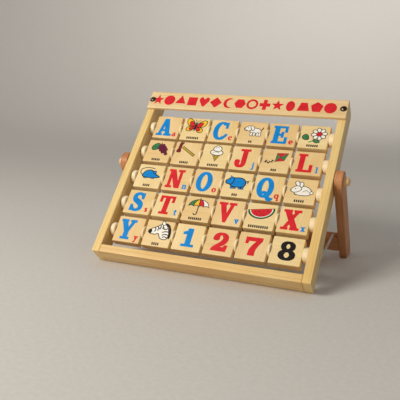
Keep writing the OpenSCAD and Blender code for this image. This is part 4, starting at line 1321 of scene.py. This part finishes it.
FR_LIGHT, FR_MID, FR_DARK = lin(244, 216, 146), lin(237, 201, 122), lin(198, 138, 74)
stile_woods = {s: wood("frame_wood_" + s, FR_LIGHT, FR_MID, FR_DARK, grain="Z", seed=k, ring=0.0022, ring_k=0.42, fibre_k=0.25, blotch_k=0.45, rough=0.36,
                       coat=0.22, coat_rough=0.28, bump=0.2, plane=p, spec=0.3, inside=BOARD)
               for s, k, p in (("left", 5, (0.012, 0.034)), ("right", 6, (-0.119, -0.013)))}
rail_wood = wood("frame_wood_rail", lin(241, 209, 142), lin(233, 190, 114), lin(190, 128, 68), grain="X", seed=7, ring=0.0026, ring_k=0.38, fibre_k=0.25, blotch_k=0.5, rough=0.34,
                 coat=0.22, coat_rough=0.30, bump=0.2, extra=fleck, inside=BOARD)


def arc(cy, cz, r, a0, a1, n):
    return [(cy + r * math.cos(math.radians(a0 + (a1 - a0) * k / n)), cz + r * math.sin(math.radians(a0 + (a1 - a0) * k / n))) for k in range(n + 1)]


TOP_R = 0.007
for s, side in SIDES.items():
    x0 = side * CORD_X - STILE_W / 2
    outline = [(0, 0), (FRAME_D, 0)] + arc(FRAME_D - TOP_R, FRAME_L - TOP_R, TOP_R, 0, 90, 14) + [(0, FRAME_L)]
    me = rounded_bar(x0, x0 + STILE_W, outline, 0.0010, 3)
    v, f = lathe([(FRAME_D - CORD_HOLE, 0), (FRAME_D - CORD_HOLE, CORD_D / 2 + 0.0001), (FRAME_D - 0.0003, CORD_D / 2 + 0.0001), (FRAME_D + 0.001, CORD_D / 2 + 0.0009), (FRAME_D + 0.001, 0)],
                 "Y", 28, (side * CORD_X, 0, CORD_UP))
    if side > 0:
        me = cut(me, [outward(new_mesh("hole", v, f))])
    me.transform(BOARD)
    smooth_shade(me)
    piece("stile_" + s, me, None, "frame", [stile_woods[s]], [s + "_stile"])

me = rounded_bar(-INNER_W / 2, INNER_W / 2, [(0, 0), (FRAME_D, 0), (FRAME_D, RAIL_H), (0, RAIL_H)], 0.0010, 3)
me.transform(BOARD)
smooth_shade(me)
piece("rail_bottom", me, None, "frame", [rail_wood], ["bottom_rail"])

# ---------------------------------------------------------------- header with its row of printed shapes
HZ = FRAME_L + HEADER_UP - HEADER_H
header_wood = wood("header_wood", lin(246, 220, 168), lin(238, 204, 144), lin(196, 140, 78), grain="X", seed=9, ring=0.0030, ring_k=0.36, fibre_k=0.22, blotch_k=0.4,
                   rough=0.36, coat=0.4, coat_rough=0.18, bump=0.2, inside=BOARD)
me = rounded_bar(-FRAME_W / 2, FRAME_W / 2, [(-HEADER_T, HZ), (0, HZ), (0, HZ + HEADER_H), (-HEADER_T, HZ + HEADER_H)], 0.0010, 3)
me.transform(BOARD)
smooth_shade(me)
piece("header", me, None, "frame", [header_wood], ["header_board"])


def star(n, r0, r1, a0=90):
    return [[((r1 if k % 2 else r0) * math.cos(math.radians(a0 + 180 * k / n)), (r1 if k % 2 else r0) * math.sin(math.radians(a0 + 180 * k / n))) for k in range(2 * n)]]


def ngon(n, r, a0=90):
    return [[(r * math.cos(math.radians(a0 + 360 * k / n)), r * math.sin(math.radians(a0 + 360 * k / n))) for k in range(n)]]


def header_shapes():
    """Fifteen plain shapes, each about one unit high, in a row."""
    h = 0.5
    heart = blob([(0, -0.5), (0.3, -0.14), (0.46, 0.16), (0.38, 0.42), (0.18, 0.46), (0, 0.26), (-0.18, 0.46), (-0.38, 0.42), (-0.46, 0.16), (-0.3, -0.14)], 5)
    moon = [[(0.12 + 0.5 * math.cos(math.radians(a)), 0.5 * math.sin(math.radians(a))) for a in range(60, 301, 10)]
            + [(0.30 + 0.40 * math.cos(math.radians(a)), 0.40 * math.sin(math.radians(a))) for a in range(270, 89, -10)]]
    shapes = [
        star(5, 0.54, 0.23), ngon(36, h), ngon(3, 0.56), rect(-0.42, -0.42, 0.42, 0.42), heart,
        ngon(4, 0.54), moon, ngon(6, 0.5, 0), band(0, 0, 0.5, 0.5, 0.19, 0.19, n=40),
        rect(-0.16, -0.5, 0.16, 0.5) + rect(-0.45, -0.16, 0.45, 0.16), star(5, 0.54, 0.23), oval(0, 0, 0.36, 0.5, 36),
        poly((-0.5, -0.4), (0.5, -0.4), (0.26, 0.4), (-0.26, 0.4)), ngon(5, 0.53), ngon(36, h)]
    out = []
    for k, g in enumerate(shapes):
        cx = (k - 7) * 0.985
        out += [("red", [(cx + 0.92 * x, 0.96 * y) for x, y in p]) for p in g]
    return out


UNIT = 0.0158
hp, hm = print_mesh("header_print", [printed(header_shapes(), lambda u, v, h: (u * UNIT - 0.0035, -HEADER_T - h, HZ + HEADER_H / 2 + v * UNIT))])
hp.transform(BOARD)
piece("header_shapes", hp, None, "frame", hm)

# ---------------------------------------------------------------- header screws
screw_steel = steel("screw_steel")
SHR, SHH, SR, SLEN = 0.004, 0.0022, 0.00175, 0.018
ball = (SHR * SHR + SHH * SHH) / (2 * SHH)
for s, side in SIDES.items():
    prof = [(-SLEN, 0.0), (-SLEN, SR), (0.0, SR), (0.0, SHR - 0.00025), (0.00012, SHR)]
    a1 = math.asin(SHR / ball)
    for k in range(1, 13):
        a = a1 * (1 - k / 12)
        prof.append((SHH - ball + ball * math.cos(a), ball * math.sin(a) if k < 12 else 0.0))
    v, f = lathe(prof, "Z", 44)
    me = outward(new_mesh("screw", v, f))
    slot_tool = rounded_bar(-0.006, 0.006, [(-0.00055, SHH - 0.0011), (0.00055, SHH - 0.0011), (0.00055, SHH + 0.001), (-0.00055, SHH + 0.001)], 0.0001, 1)
    slot_tool.transform(Matrix.Rotation(math.radians(20 if side > 0 else -35), 4, "Z"))
    me = cut(me, [slot_tool])
    smooth_shade(me, 32)
    m = BOARD @ Matrix.Translation((side * CORD_X, -HEADER_T, HZ + HEADER_H / 2)) @ Matrix.Rotation(math.pi / 2, 4, "X")
    piece("header_screw_" + s, me, m, "frame", [screw_steel], ["screw_" + s])

# ---------------------------------------------------------------- legs, crossbar and pegs
# leg and crossbar wood, darker and redder than the frame: partly the wood's own tone, partly painted shade for the
# shade the legs sit in under the leaning board
LEG_SHADE_LIGHT, LEG_SHADE_MID, LEG_SHADE_DARK = lin(218, 154, 102), lin(192, 124, 78), lin(128, 74, 46)
leg_lf = (PIV_Z - LEG_R * sg) / cg
c0 = (FOOT_CY - PIV_Y, FOOT_R - PIV_Z)
c1 = (c0[0] * cg + c0[1] * sg, -c0[0] * sg + c0[1] * cg)
base_a = math.degrees(math.atan2(-cg, -sg))
leg_in = FRAME_W / 2 + LEG_GAP
for s, side in SIDES.items():
    outline = arc(0, 0, LEG_R, 0, 180, 28) + [(-LEG_R, -leg_lf)] + arc(c1[0], c1[1], FOOT_R, base_a, 0, 12)
    x0 = leg_in if side > 0 else -leg_in - LEG_T
    me = rounded_bar(x0, x0 + LEG_T, outline, 0.0009, 3)
    v, f = lathe([(x0 - 0.001, 0), (x0 - 0.001, PEG_R + RUN), (x0 + LEG_T + 0.001, PEG_R + RUN), (x0 + LEG_T + 0.001, 0)], "X", 40)
    me = cut(me, [outward(new_mesh("hole", v, f))])
    me.transform(LEGS)
    smooth_shade(me)
    lw = wood("leg_wood_" + s, LEG_SHADE_LIGHT, LEG_SHADE_MID, LEG_SHADE_DARK, grain="Z", seed=11 + side, ring=0.0024, ring_k=0.42, fibre_k=0.28, blotch_k=0.45, rough=0.46,
              coat=0.10, coat_rough=0.35, bump=0.2, spec=0.22, inside=LEGS)
    piece("support_" + s, me, None, "legs", [lw], ["leg_" + s])

me = rounded_bar(-leg_in, leg_in, [(-LEG_R, -BAR_FROM - BAR_H), (-LEG_R + BAR_T, -BAR_FROM - BAR_H), (-LEG_R + BAR_T, -BAR_FROM), (-LEG_R, -BAR_FROM)], 0.0010, 3)
tools = []
for side in (1,):
    v, f = lathe([(-BAR_FROM - CORD_HOLE, 0), (-BAR_FROM - CORD_HOLE, CORD_D / 2 + 0.0001), (-BAR_FROM - 0.0003, CORD_D / 2 + 0.0001), (-BAR_FROM + 0.001, CORD_D / 2 + 0.0009), (-BAR_FROM + 0.001, 0)],
                 "Z", 28, (side * CORD_X, -LEG_R + BAR_T / 2, 0))
    tools.append(outward(new_mesh("hole", v, f)))
me = cut(me, tools)
me.transform(LEGS)
smooth_shade(me)
bar_wood = wood("leg_wood_bar", LEG_SHADE_LIGHT, LEG_SHADE_MID, LEG_SHADE_DARK, grain="X", seed=14, ring=0.0026, ring_k=0.4, fibre_k=0.28, blotch_k=0.45, rough=0.44, coat=0.10, coat_rough=0.35, bump=0.2, spec=0.22, inside=LEGS)
piece("leg_bar", me, None, "legs", [bar_wood], ["crossbar"])

peg_wood = wood("peg_wood", lin(248, 212, 156), lin(240, 196, 132), lin(194, 138, 80), grain="X", seed=15, ring=0.0016, ring_k=0.35, fibre_k=0.2, rough=0.40, coat=0.25, coat_rough=0.28, bump=0.12, spec=0.35)
peg_ball = (PEG_R ** 2 + (PEG_R / 2) ** 2) / PEG_R
for s, side in SIDES.items():
    x0 = FRAME_W / 2 - 0.0065
    prof = [(x0, 0.0), (x0, PEG_R)]
    a1 = math.asin(PEG_R / peg_ball)
    for k in range(0, 13):
        a = a1 * (1 - k / 12)
        prof.append((PEG_TIP - peg_ball + peg_ball * math.cos(a), peg_ball * math.sin(a) if k < 12 else 0.0))
    prof = [(u * side, r) for u, r in prof]
    v, f = lathe(prof, "X", 48)
    me = outward(new_mesh("peg", v, f))
    smooth_shade(me, 45)
    piece("pivot_peg_" + s, me, BOARD @ Matrix.Translation((0, PIVOT_IN, PIVOT_UP)), "frame", [peg_wood], ["peg_" + s])

cord_cotton = cotton("cord_cotton", lin(214, 200, 184), lin(246, 238, 226), lin(254, 250, 243))
# painted shade: a dark brown cotton on the rope's groove faces, standing in for the shade between the strands
cord_groove_painted_shade = cotton("cord_groove_painted_shade", lin(84, 64, 52), lin(112, 90, 76), lin(134, 110, 94))
for ob in cords.values():
    ob.data.materials.append(cord_cotton)
    ob.data.materials.append(cord_groove_painted_shade)

# ---------------------------------------------------------------- floor and light
fl = Nodes("floor")
tcf = fl.add("ShaderNodeTexCoord")
nf = fl.add("ShaderNodeTexNoise", noise_dimensions="3D", inputs={"Scale": 220.0, "Detail": 2.0, "Roughness": 0.5})
fl.link(tcf.outputs["Object"], nf.inputs["Vector"])
fl.link(fl.ramp(nf.outputs["Fac"], [(0.3, lin(206, 202, 196)), (0.7, lin(212, 208, 203))]), fl.bsdf.inputs["Base Color"])
fl.bsdf.inputs["Roughness"].default_value = 0.75
prof = [(0.0, 0.0), (0.3, 0.0), (1.0, 0.0), (1.6, 0.0)]
for k in range(1, 25):
    a = math.pi / 2 * k / 24
    prof.append((1.6 + 1.6 * math.sin(a), 1.6 - 1.6 * math.cos(a)))
prof.append((3.2, 2.6))
verts, faces = [(0, 0, 0)], []
N = 96
for r, z in prof[1:]:
    for k in range(N):
        verts.append((r * math.cos(2 * math.pi * k / N), r * math.sin(2 * math.pi * k / N), z))
for k in range(N):
    faces.append((0, 1 + k, 1 + (k + 1) % N))
for q in range(len(prof) - 2):
    for k in range(N):
        a, b = 1 + q * N + k, 1 + q * N + (k + 1) % N
        faces.append((a, a + N, b + N, b))
me = new_mesh("floor", verts, faces)
me.shade_smooth()
me.materials.append(fl.m)
floor = bpy.data.objects.new("floor", me)
bpy.context.scene.collection.objects.link(floor)


def area(name, at, aim, size, power, colour=(1, 1, 1), spread=math.pi):
    d = bpy.data.lights.new(name, "AREA")
    d.shape, d.size, d.size_y, d.energy, d.color, d.spread = "RECTANGLE", size[0], size[1], power, colour, spread
    o = bpy.data.objects.new(name, d)
    bpy.context.scene.collection.objects.link(o)
    o.location = at
    o.rotation_mode = "QUATERNION"
    o.rotation_quaternion = (Vector(aim) - Vector(at)).to_track_quat("-Z", "Y")
    return o


area("key", (-0.72, -1.10, 0.90), (0.0, 0.0, 0.08), (0.6, 0.6), 19.0, (1.0, 0.965, 0.90))
area("fill", (1.1, 0.5, 1.3), (0.0, 0.0, 0.1), (1.2, 1.2), 1.4, (1.0, 0.97, 0.93))
area("backdrop", (0.3, 1.7, 2.0), (-1.1, 3.2, 0.3), (1.6, 1.0), 14.0, (1.0, 0.98, 0.95), math.radians(120))
world = bpy.data.worlds.new("world")
bpy.context.scene.world = world
world.use_nodes = True
world.node_tree.nodes["Background"].inputs["Color"].default_value = (1.0, 0.985, 0.96, 1.0)
world.node_tree.nodes["Background"].inputs["Strength"].default_value = 0.31

bpy.context.scene.view_settings.view_transform = "Standard"
